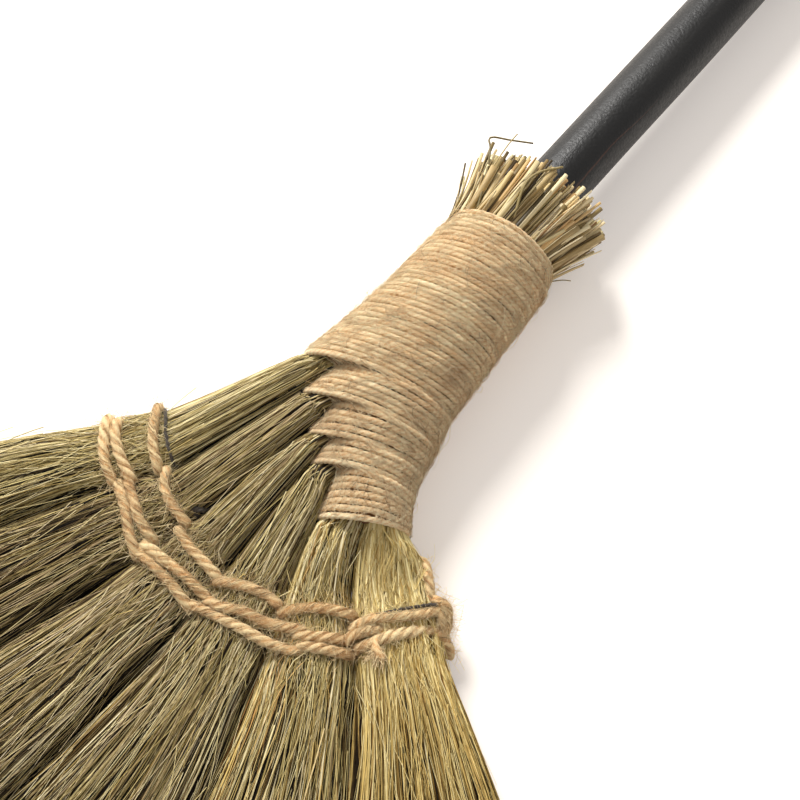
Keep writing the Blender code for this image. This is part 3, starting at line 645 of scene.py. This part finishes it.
# The winding's rows: its outer edges at the left and at the right, in plan, from the rim down
MAIN_LEFT = ((-20.6, -6.4), (-21.6, -24.6), (-21.9, -43.2), (-23.4, -56.3), (-25.0, -69.6), (-27.2, -84.0))
COLLARS = ((6, -15.2, (-17.8, -94.8)), (5, -6.2, (-6.4, -105.7)), (4, 1.2, (1.6, -112.8)), (7, 10.4, (16.6, -126.6)))
RIGHT_EDGE = ((23.8, 0.6), (26.5, -7.2), (27.4, -19.2), (28.0, -35.2), (29.1, -44.2), (29.8, -58.6), (30.6, -68.8),
              (33.2, -77.6), (35.0, -87.0), (37.2, -95.4), (41.3, -102.8), (45.8, -108.6))
MAIN_ROWS = 34
ROW_POINTS = 190
WIND_RADIUS = 1.22
WIND_PITCH = 7.4


def winding_grid():
    """The centre line of the winding as a grid (rows, points): it drifts to the next row while underneath."""
    rows = MAIN_ROWS + sum(collar[0] for collar in COLLARS)
    rights = along_line(RIGHT_EDGE, rows)
    lefts = along_line(MAIN_LEFT, MAIN_ROWS)
    for count, first_x, tip in COLLARS:
        left, right = lefts[-1], rights[len(lefts) - 1]
        share = (first_x - left[0]) / (right[0] - left[0])
        first = (first_x, left[1] + (right[1] - left[1]) * share - 2 * WIND_RADIUS * 0.86)
        lefts = np.concatenate([lefts, along_line((first, tip), count)])
    across = normalised(rights - lefts)
    lefts = lefts + across * WIND_RADIUS
    rights = rights - across * WIND_RADIUS
    draw = np.random.default_rng(5)
    turn = np.linspace(0, 2 * np.pi, ROW_POINTS, endpoint=False)
    under = np.clip((turn - np.pi) / np.pi, 0, 1)
    under = under * under * (3 - 2 * under)

    def drifting(edge):
        after = np.concatenate([edge[1:], edge[-1:]])
        return edge[:, None] + (after - edge)[:, None] * under[:, None]

    left, right = drifting(lefts), drifting(rights)
    place = left + (right - left) * ((1 + np.cos(turn)) / 2)[:, None]
    depth = -(left[..., 1] + right[..., 1]) / 2
    half = NECK_HALF_HEIGHT * table(NECK_HEIGHTS, depth / NECK_LENGTH)
    lift = half + 4.7 - WIND_RADIUS
    # Not used, but it keeps the draws after it as they are
    draw.normal(0, 1, (rows, 8))

    def waves(*numbers):
        return sum(draw.normal(0, 1, (rows, 1)) * np.cos(turn * number + draw.uniform(0, PHASES, (rows, 1)))
                   for number in numbers)

    slide = waves(1, 2, 3, 5) * 0.13
    swell = 1 + 0.006 * waves(2, 4, 7)
    height = NECK_FLOOR + half + lift * swell * np.sin(turn)
    middle = (left + right) / 2
    place = middle + (place - middle) * swell[..., None]
    normal = normalised(np.stack([-(right - left)[..., 1], (right - left)[..., 0]], -1))
    place = place + normal * slide[..., None]
    grid = np.concatenate([place, height[..., None]], -1)
    grid[..., 2] = np.maximum(grid[..., 2], WIND_RADIUS * 0.96)
    return grid


WINDING = winding_grid()


def make_winding():
    """The jute twine round the neck: one continuous run of a three-ply twine, row against row."""
    draw = np.random.default_rng(6)
    path = WINDING.reshape(1, -1, 3)[:, :-ROW_POINTS // 2]
    lengths = run_lengths(path[0])
    twist = (lengths / WIND_PITCH * 2 * np.pi + 0.5 * np.sin(lengths / 37.0))[None]
    radii = (WIND_RADIUS * (1.0 + 0.35 * slow_noise(draw, len(lengths), 41)))[None]
    tone = slow_noise(draw, len(lengths), 61)
    builder = Builder()
    builder.tubes(path, radii, 9, reference=(0.12, -1, 0), lobes=3, lobe_depth=0.26, twist=twist, caps=True,
                  tone=(0.24 + 0.5 * tone)[None])
    # A dark, slightly smaller copy of the winding inside it, seen between the rows: painted shade.
    middle = WINDING.mean(axis=1, keepdims=True)
    shade_backing = (middle + (WINDING - middle) * 0.94)[None, :, ::5]
    builder.blocks.append((shade_backing, {"crest": np.array([0.0]), "tone": np.array([-0.3])}, 1, 0.1, True))
    builder.piece("winding", JUTE, "jute", ("neck_winding",))


def winding_surface(rows, turns):
    """Points and outward directions on the winding at fractional rows and turns (in points)."""
    count = WINDING.shape[0]
    rows = np.clip(rows, 0, count - 1.001)
    low = np.floor(rows).astype(int)
    share = (rows - low)[..., None]
    turns = np.mod(turns, ROW_POINTS)
    first = np.floor(turns).astype(int) % ROW_POINTS
    second = (first + 1) % ROW_POINTS
    part = (turns - np.floor(turns))[..., None]

    def at(row):
        return WINDING[row, first] * (1 - part) + WINDING[row, second] * part

    place = at(low) * (1 - share) + at(np.minimum(low + 1, count - 1)) * share
    out = place - WINDING[low].mean(axis=-2)
    out[..., 1] *= 0.05
    return place, normalised(out)


def make_winding_fuzz():
    """Loose jute fibres that lie on the winding and stand off it a little."""
    draw = np.random.default_rng(8)
    builder = Builder()
    steps = np.linspace(0, 1, 7)
    for number, length, lift, thick in ((6800, 5.0, 0.38, 0.055), (2500, 8.0, 1.0, 0.045), (150, 18.0, 2.4, 0.055)):
        row = draw.uniform(0, len(WINDING) - 1, (number, 1))
        turn = draw.uniform(-0.08, 0.58, (number, 1)) * ROW_POINTS
        angle = draw.normal(0, 0.7, number) + (draw.uniform(size=number) < 0.25) * draw.uniform(-1.5, 1.5, number)
        curl = draw.normal(0, 0.9, (number, 1))
        step = length * draw.uniform(0.4, 1.3, (number, 1)) / 6
        heading = angle[:, None] + curl * steps
        turn_step = np.cos(heading) * step / 0.72
        row_step = np.sin(heading) * step / 2.4
        turns = turn + np.cumsum(turn_step, axis=1) - turn_step[:, :1]
        rows = row + np.cumsum(row_step, axis=1) - row_step[:, :1]
        place, out = winding_surface(rows, turns)
        rise = WIND_RADIUS * 0.93 + lift * draw.uniform(0.1, 1.2, (number, 1)) * np.sin(steps * np.pi * 0.8) ** 1.2
        builder.tubes(place + out * rise[..., None], thick * draw.uniform(0.8, 1.6, (number, 1)), 3,
                      reference=(0.3, 0.2, 0.9), rows=6, weight=number, crest=draw.uniform(0.1, 1.0, number),
                      tone=draw.normal(0.38, 0.3, number))
    builder.piece("winding_fuzz", JUTE, "jute")


# The stitches over or under each bundle, in plan, from the left gap to the right one, with a height where it matters
STITCHES = {
    "upper": (
        ((-55.6, -132.4), (-51.2, -138.6), (-45.6, -144.2), (-38.2, -149.4)),
        ((-36.8, -147.4), (-31.5, -153.2), (-24.5, -156.3), (-17.2, -157.4)),
        ((-18.2, -160.6), (-10.5, -162.6), (-3, -163.4), (4.2, -164.4)),
        ((4.2, -165.6), (10.5, -162.6, 19.9), (16.9, -159.6, 19.9), (22.3, -158, 18.8), (27, -157.6)),
        ((29.2, -159.2), (32.9, -155, 19.6), (37.3, -151, 20), (42.8, -147.1, 19.9), (48.8, -144)),
        ((51.8, -147.4), (55.2, -141, 20), (60.3, -135.4, 20), (66.4, -128.7, 19), (70, -123.7, 15.5))),
    "inner": (
        ((-63.1, -145.6), (-59, -150.2), (-52, -154.8), (-43.8, -158.6)),
        ((-44.5, -159.2), (-36.7, -163.4), (-30, -167.2), (-22.2, -169.4)),
        ((-23.4, -172), (-14, -172), (-4, -171.4), (6.2, -171.6)),
        ((6.8, -172.4), (12.3, -171.1, 20), (19.3, -167.7, 20), (27.3, -165.5, 20), (34.1, -162, 19.8),
         (39.2, -158.4)),
        ((38.1, -161.2), (41.7, -159.4, 19.4), (46.7, -156, 20), (51.6, -152.8)),
        ((53, -152.2), (54.2, -148.8, 19.6), (56.8, -145, 20), (60.4, -140.1, 17.5), (66.5, -135, 14.6),
         (74, -131.2, 9.5))),
    "outer": (
        ((-66.3, -147.5), (-61.6, -153.7), (-55.6, -159.2), (-47.4, -163.2)),
        ((-46.6, -162.2), (-37.8, -167.2), (-30.4, -172.4), (-22.6, -177)),
        ((-23.6, -175.6), (-14.5, -175.6), (-5.5, -176.6), (3.6, -178.4)),
        ((3.4, -177.6), (14.6, -174, 19.6), (23, -171.9, 20), (31.8, -170.4, 20), (39.2, -167.6, 19.6),
         (43.8, -164.6)),
        ((41.4, -163.8), (48.9, -159, 20), (53.2, -156.9, 20), (57.1, -154.7)),
        ((57.5, -151.7), (61.2, -145.6, 20), (64.5, -140.4, 19.6), (69, -134.3, 18), (72, -130.7, 15.5),
         (75.5, -128.9, 13), (79.3, -129.3, 10), (82.1, -130.7, 6.5))),
}
# Strands that show round the right edge of the fan
STRANDS = (((66.2, -121.2, 15.2), (69.2, -120.5, 16.2), (71.6, -120.4, 15.2), (73.8, -122, 14.2),
            (75.7, -124.7, 13.6), (77, -127.2, 12.4), (78.2, -129.2, 8.5)),
           ((68, -124.6, 15.4), (71.2, -123.4, 15.6), (73.4, -125.2, 14.4), (75.2, -127.6, 11.5)))
TWINE_RADIUS = 1.9
STRAND_RADIUS = TWINE_RADIUS * 0.85
TWINE_PITCH = 13.5
CORD_RADIUS = 0.7
OVER_HEIGHT = 19.9
UNDER_HEIGHT = 3.6


def stitch_points(places, over, homeward):
    """The points of one stitch, which comes up out of one gap and goes down into the next."""
    level = OVER_HEIGHT if over else UNDER_HEIGHT
    end_level = SEW_HEIGHT + (level - SEW_HEIGHT) * 0.62
    points = []
    for place in places:
        height = end_level if place in (places[0], places[-1]) else level
        points.append((place[0], place[1], place[2] if over and len(place) > 2 else height))
    near_level = level - (0.9 if over else -0.5)
    first = [a + (b - a) * 0.3 for a, b in zip(points[0][:2], points[1][:2])]
    last = [a + (b - a) * 0.7 for a, b in zip(points[-2][:2], points[-1][:2])]
    if not over or len(places[-1]) == 2:
        points.insert(-1, (*last, near_level))
    points.insert(1, (*first, near_level))
    return points[::-1] if homeward else points


def row_curve(stitches, name):
    """One row: the twine goes over and under the bundles, folds round the edge and comes back on the other side."""
    left, right = stitches[0][0], stitches[-1][-1]
    points = [(right[0] + 0.4, right[1] - 0.9, right[2] - 2.2)]
    for index in reversed(range(BUNDLES)):
        points += stitch_points(stitches[index], index % 2 == 1, True)
    points.append((left[0] - 0.7, left[1] + 0.3, SEW_HEIGHT - 1.0))
    for index in range(BUNDLES):
        points += stitch_points(stitches[index], index % 2 == 0, False)
    points += [(right[0] + 0.8, right[1] + 0.4, SEW_HEIGHT - 4.5)]
    if name == "upper":
        points += [(68.4, -122.8, 11.0), (65.6, -121.8, 14.6), (60.4, -117.0, 15.4), (55.6, -113.4, 14.6),
                   (52.8, -113.4, 10.0)]
    return points


def twine_tube(builder, points, radius, plies, pitch, tone, weight, seed):
    """A twisted twine along a smooth curve."""
    draw = np.random.default_rng(seed)
    path = even_curve(points, radius * 0.42)
    lengths = run_lengths(path)
    path = path + 0.10 * radius * np.sin(lengths[:, None] / 5.3 + (0.0, 1.7, 0.6))
    twist = (lengths / pitch * 2 * np.pi + 0.6 * np.sin(lengths / 23.0))[None]
    smooth = slow_noise(draw, len(lengths), 25)[None]
    builder.tubes(path[None], radius * (1 + 0.45 * smooth), 14, lobes=plies, lobe_depth=0.34, twist=twist, caps=True,
                  weight=weight, tone=tone + 0.25 * smooth)
    return path


def fibres_along(builder, path, radius, number, pitch, draw, weight):
    """Fibres that lie on a twine and turn with its plies, some of them a little loose."""
    steps = np.linspace(0, 1, 9)
    spacing = np.linalg.norm(path[1] - path[0])
    longest = min(8.0 / spacing, len(path) - 6)
    run = draw.uniform(0.3, 1.0, (number, 1)) * longest
    begin = draw.uniform(2, len(path) - 3 - longest, (number, 1))
    index = begin + run * steps
    tangents = normalised(np.gradient(path, axis=0))
    sides = normalised(np.cross(tangents, [0.0, 0.0, 1.0]))
    ups = np.cross(sides, tangents)
    low = index.astype(int)
    share = (index - low)[..., None]
    place = path[low] * (1 - share) + path[low + 1] * share
    turn = draw.uniform(0, 2 * np.pi, (number, 1)) + (index - begin) * spacing * 2 * np.pi / pitch
    turn = turn + draw.normal(0, 0.5, (number, 1)) * steps
    reach = radius * (0.93 + 0.22 * draw.beta(1, 3, (number, 1)) * np.sin(np.linspace(0, np.pi, len(steps))))
    centres = place + (reach * np.cos(turn))[..., None] * sides[low] + (reach * np.sin(turn))[..., None] * ups[low]
    builder.tubes(centres, draw.uniform(0.05, 0.12, (number, 1)), 3, reference=FIBRE_SIDE, rows=4, weight=weight,
                  crest=draw.uniform(0.1, 1.0, number), tone=draw.normal(0.28, 0.3, number))


def fuzz_along(builder, path, radius, number, length, lift, thick, draw, weight):
    """Fibres that come loose from a twine."""
    steps = np.linspace(0, 1, 7)
    index = draw.integers(3, len(path) - 4, number)
    tangent = normalised(path[index + 3] - path[index - 3])
    other = normalised(draw.normal(0, 1, (number, 3)))
    out = normalised(other - tangent * (other * tangent).sum(-1, keepdims=True))
    side = np.cross(tangent, out)
    lean = draw.normal(0, 0.8, (number, 1)) * side + draw.choice([-1.0, 1.0], (number, 1)) * tangent
    lean = normalised(lean + out * draw.uniform(0.1, 0.9, (number, 1)))
    run = length * draw.uniform(0.4, 1.4, (number, 1))
    curl = draw.normal(0, 0.5, (number, 1)) * side + draw.normal(-0.1, 0.45, (number, 1)) * out
    centres = curled(path[index] + out * radius * 0.8, lean, curl, run, steps)
    centres += out[:, None] * (lift * np.sin(steps * np.pi))[:, None] * draw.uniform(0, 1, (number, 1, 1))
    centres[..., 2] = np.maximum(centres[..., 2], 0.4)
    builder.tubes(centres, thick * draw.uniform(0.7, 1.6, (number, 1)), 3, reference=FIBRE_SIDE, rows=4,
                  weight=weight, crest=np.ones(number), tone=draw.uniform(0.1, 0.5, number))


def make_sewing():
    """The three doubled rows of thick jute twine, with their loose fibres."""
    for number, (name, stitches) in enumerate(STITCHES.items()):
        builder = Builder()
        path = twine_tube(builder, row_curve(stitches, name), TWINE_RADIUS, 3, TWINE_PITCH, 0.22, 4.0, 20 + number)
        draw = np.random.default_rng(30 + number)
        fibres_along(builder, path, TWINE_RADIUS, 2600, TWINE_PITCH, draw, 2.0)
        fuzz_along(builder, path, TWINE_RADIUS, 3400, 3.2, 0.5, 0.042, draw, 2.0)
        fuzz_along(builder, path, TWINE_RADIUS, 320, 9.0, 1.0, 0.045, draw, 1.0)
        if name == "upper":
            for strand in STRANDS:
                path = twine_tube(builder, strand, STRAND_RADIUS, 3, TWINE_PITCH, 0.1, 0.5, 24)
                fibres_along(builder, path, STRAND_RADIUS, 160, TWINE_PITCH, draw, 0.3)
                fuzz_along(builder, path, STRAND_RADIUS, 300, 3.4, 0.5, 0.042, draw, 0.3)
        builder.piece(f"sewing_{name}", TWINE, "jute", (f"{name}_sewing_twine",))


def make_black_cord():
    """The thin dark twisted cord: over the outer bundles, under the others, and seen again in the gaps."""
    route = [(70.5, -121.5, 12), (67.5, -123.3, 17.6), (60.2, -132.3, 19.6), (55, -138.8, 18.8), (52, -142.2, 15),
             (49.5, -143, 8), (42, -146, 3.4), (33, -152.5, 3.2), (27.5, -154, 7.5), (25, -155, 12),
             (20, -156, 17.2), (12, -157.8, 18.3), (6.5, -159.5, 15.5), (2.8, -160, 8), (-5, -159.6, 3.4),
             (-13, -157, 4.2), (-15.6, -153.6, 11.5), (-16.6, -152.6, 15.2), (-18.6, -152.8, 15.4),
             (-20.6, -153.2, 10.5), (-26, -151, 3.6), (-33, -146.5, 4.2), (-35.6, -143.4, 10),
             (-36.4, -144, 16.6), (-40.4, -141.6, 19.8), (-45.4, -137.8, 20.6), (-50.2, -133.2, 19.8),
             (-53.8, -131.2, 15.5), (-55.2, -131.4, 9)]
    builder = Builder()
    path = twine_tube(builder, route, CORD_RADIUS, 2, 5.0, 0.2, 3.0, 41)
    fuzz_along(builder, path, CORD_RADIUS, 220, 3.0, 0.3, 0.035, np.random.default_rng(42), 1.0)
    loops = [
        [(-20.5, -97, 21.5), (-18.6, -94.9, 23), (-16.6, -95.6, 23.6), (-17.2, -98.2, 22.6), (-19.6, -99.2, 21.4)],
        [(-1.2, -114.2, 18.5), (0.2, -115.6, 19.8), (1.6, -117.8, 19.6), (0.6, -120, 18.2)],
        [(-22, -154.4, 13), (-20.2, -152.4, 17.6), (-17.6, -150.4, 17.9), (-15.4, -148.2, 14)],
        [(-21.2, -152.6, 14), (-18.6, -152, 17.6), (-16.4, -150.2, 17.4), (-15.2, -149.8, 13)],
    ]
    for number, points in enumerate(loops):
        twine_tube(builder, points, 0.42 if number < 2 else 0.75, 2, 3.0, 0.2, 0.3, 50 + number)
    builder.piece("cord_black", BLACK, "black_jute", ("black_cord",))


def make_tail():
    """The knotted end of the sewing twine: a short frayed tuft on the outermost row."""
    draw = np.random.default_rng(60)
    builder = Builder()
    points = [(60.6, -145.2, 20.2), (62.4, -147.4, 21.4), (64.6, -148.4, 22.0), (66.8, -148.6, 21.2)]
    twine_tube(builder, points, 1.5, 3, 9.0, 0.2, 1.0, 61)
    number = 240
    steps = np.linspace(0, 1, 8)
    start = np.array([64.2, -147.6, 20.8]) + draw.normal(0, 0.9, (number, 3))
    aim = normalised(np.stack([draw.normal(0.35, 0.8, number), draw.normal(-1.0, 0.45, number),
                               draw.normal(0.0, 0.4, number)], -1))
    run = draw.uniform(1.6, 4.2, (number, 1))
    centres = curled(start, aim, draw.normal(0, 0.35, (number, 3)), run, steps)
    centres[..., 2] = np.clip(centres[..., 2], 16.5, 25.5)
    builder.tubes(centres, draw.uniform(0.06, 0.14, (number, 1)), 3, reference=FIBRE_SIDE, rows=2,
                  crest=np.ones(number), tone=draw.uniform(0.1, 0.45, number))
    builder.piece("twine_tail", TWINE, "jute")


def stick_material():
    """Dark stained wood: fine grain along the stick, a pitted coat with a soft broken gloss, and worn brown spots."""
    shader = Shader("stained_stick", Specular_IOR_Level=0.38)
    grain = shader.noise(190, 5, 0.62, (1, 0.05, 1))
    spots = shader.noise(900, 3, 0.6)
    cloud = shader.noise(34, 3, 0.5, (1, 0.35, 1))
    drift = shader.scaled(shader.noise(140, 3, 0.6), 0.12, -0.06)
    bearing = shader.math("ABSOLUTE", shader.math("ADD", shader.attribute("bearing"), drift))
    crack = shader.math("MULTIPLY", shader.math("SUBTRACT", shader.attribute("gape"), bearing), 45.0)
    crack = shader.math("MINIMUM", shader.math("MAXIMUM", crack, 0.0), 1.0)
    level = shader.scaled(grain, 0.55, shader.math("MULTIPLY", cloud, 0.45))
    base = shader.screen_ramp(level, (0.25, (6, 5, 5)), (0.5, (17, 16, 15)), (0.75, (38, 36, 33)))
    worn = shader.mask(shader.noise(60, 6, 0.75, (1, 0.3, 1)), 0.62, 0.74)
    base = shader.mix(shader.math("MULTIPLY", worn, 0.22), base, linear(96, 74, 56))
    base = shader.mix(crack, base, linear(62, 38, 28))
    shader.link("Base Color", base)
    rough = shader.scaled(spots, 0.5, shader.scaled(cloud, 0.22, 0.10))
    shader.link("Roughness", rough)
    height = shader.scaled(spots, 0.7, shader.math("MULTIPLY", grain, 0.8))
    shader.bump(height, 0.0006, 0.55)
    return shader.material


def make_stick():
    """The round stick, a little uneven like a real peeled branch, with a fine crack along it."""
    draw = np.random.default_rng(70)
    sides, rings = 96, 300
    turn = np.linspace(0, 2 * np.pi, sides, endpoint=False)
    along, around = np.meshgrid(np.linspace(-70, STICK_OUTSIDE - STICK_EDGE, rings), turn, indexing="ij")
    radius = np.full_like(along, STICK_RADIUS + 0.4)
    for _ in range(9):
        period = draw.uniform(60, 260)
        lobes = draw.integers(0, 4)
        phase = draw.uniform(0, PHASES, 2)
        radius += (draw.normal(0, 0.055) * np.sin(along / period * PHASES + phase[0])
                   * np.cos(lobes * around + phase[1]))
    crack_turn = math.radians(44) + 0.07 * np.sin(along / 23.0) + 0.04 * np.sin(along / 7.0)
    offset = (around - crack_turn + np.pi) % (2 * np.pi) - np.pi
    gape = np.full_like(along, -0.1)
    for low, high, widest in ((20, 88, 0.05), (150, 215, 0.035), (330, 450, 0.045)):
        width = widest * np.sqrt(np.clip((high - along) / (high - low), 0, 1))
        gape = np.where((along > low) & (along < high), width, gape)
    cap_turn = np.linspace(0, np.pi / 2, 8)[1:, None]
    cap_radius = STICK_RADIUS - STICK_EDGE + STICK_EDGE * np.cos(cap_turn)
    cap_place = STICK_OUTSIDE - STICK_EDGE + STICK_EDGE * np.sin(cap_turn)
    cap = np.zeros((len(cap_turn), sides))
    along = np.concatenate([along, cap + cap_place])
    radius = np.concatenate([radius, radius[-1:] + (cap_radius - STICK_RADIUS)])
    gape = np.concatenate([gape, cap - 0.1])
    offset = np.concatenate([offset, cap + 1])
    around = np.concatenate([around, cap + turn])
    x = 0.6 + radius * np.cos(around)
    lift = radius * np.sin(around)
    cosine, sine = math.cos(STICK_TILT), math.sin(STICK_TILT)
    points = np.stack([x, along * cosine + lift * sine, RIM_AXIS_HEIGHT + 0.5 - along * sine + lift * cosine], -1)
    points[..., 2] = np.maximum(points[..., 2], 0.0)
    builder = Builder()
    builder.blocks.append((points[None], {"gape": gape[None], "bearing": offset[None]}, 1, 1.0, True))
    builder.piece("stick", stick_material(), "stained_wood", ("handle",))


def make_stage():
    """A white floor that keeps the broom's shadow and looks plain white where it is lit."""
    shader = Shader("floor_white", Roughness=1.0, Specular_IOR_Level=0.0)
    shader.main.inputs["Base Color"].default_value = (0.88, 0.83, 0.775, 1)
    path = shader.node("ShaderNodeLightPath")
    seen = shader.math("MAXIMUM", path.outputs["Is Camera Ray"],
                       shader.math("MAXIMUM", path.outputs["Is Glossy Ray"], path.outputs["Is Transmission Ray"]))
    distance = shader.node("ShaderNodeVectorMath", {0: shader.place(), 1: ORIGIN.tolist()}, operation="DISTANCE")
    # Near the broom the floor's glow is weaker and warmer. The warm tint is painted bounce light from the broom.
    far = shader.mask(distance.outputs["Value"], 0.35, 0.9)
    shader.link("Emission Color", shader.mix(far, (1, 0.93, 0.885, 1), (1, 1, 1, 1)))
    strength = shader.scaled(far, 0.30, 0.27)
    shader.link("Emission Strength", shader.math("MULTIPLY", seen, strength))
    mesh = bpy.data.meshes.new("floor")
    reach = 9.0
    mesh.from_pydata([(-reach, -reach, 0), (reach, -reach, 0), (reach, reach, 0), (-reach, reach, 0)], [],
                     [(0, 1, 2, 3)])
    mesh.materials.append(shader.material)
    floor = add_object("floor", mesh)
    floor.location.z = -0.0002


def make_light():
    """One soft lamp from the left of the broom, over a bright even surround."""
    world = bpy.data.worlds.new("surround")
    world.use_nodes = True
    nodes = Nodes(world.node_tree, "Background")
    seen = nodes.node("ShaderNodeLightPath").outputs["Is Camera Ray"]
    nodes.link("Strength", nodes.scaled(seen, 0.42, 0.58))
    nodes.main.inputs["Color"].default_value = (1.0, 0.985, 0.975, 1)
    bpy.context.scene.world = world
    lamp = bpy.data.lights.new("key", "AREA")
    lamp.shape = "DISK"
    lamp.size = 0.55
    lamp.energy = 33.0
    lamp.color = (1.0, 0.985, 0.955)
    key = add_object("key", lamp)
    target = Vector((float(ORIGIN[0]), float(ORIGIN[1]) - 0.06, 0.015))
    direction = Vector((-0.80, 0.42, 0.76)).normalized()
    key.location = target + direction * 1.5
    key.rotation_euler = direction.to_track_quat("Z", "Y").to_euler()


def make_camera():
    """The photograph's view: 20 degrees off straight down, with the broom turned across the frame."""
    data = bpy.data.cameras.new("camera")
    data.lens = 55
    data.sensor_width = 36
    data.sensor_fit = "HORIZONTAL"
    data.clip_start = 0.01
    camera = add_object("camera", data)
    place = Vector((109.45, -190.20, 439.64)) * MM + Vector(ORIGIN.tolist())
    forward = Vector((-0.22059, 0.26138, -0.93969)).normalized()
    up = Vector((-0.60607, 0.71812, 0.34202)).normalized()
    right = forward.cross(up).normalized()
    camera.matrix_world = Matrix.Translation(place) @ Matrix((right, up, -forward)).transposed().to_4x4()
    bpy.context.scene.camera = camera


make_camera()
make_light()
make_stage()
for bundle in range(1, BUNDLES + 1):
    make_grass(bundle)
make_stalks()
make_winding()
make_winding_fuzz()
make_sewing()
make_black_cord()
make_tail()
make_stick()

bpy.context.scene.view_settings.view_transform = "Standard"
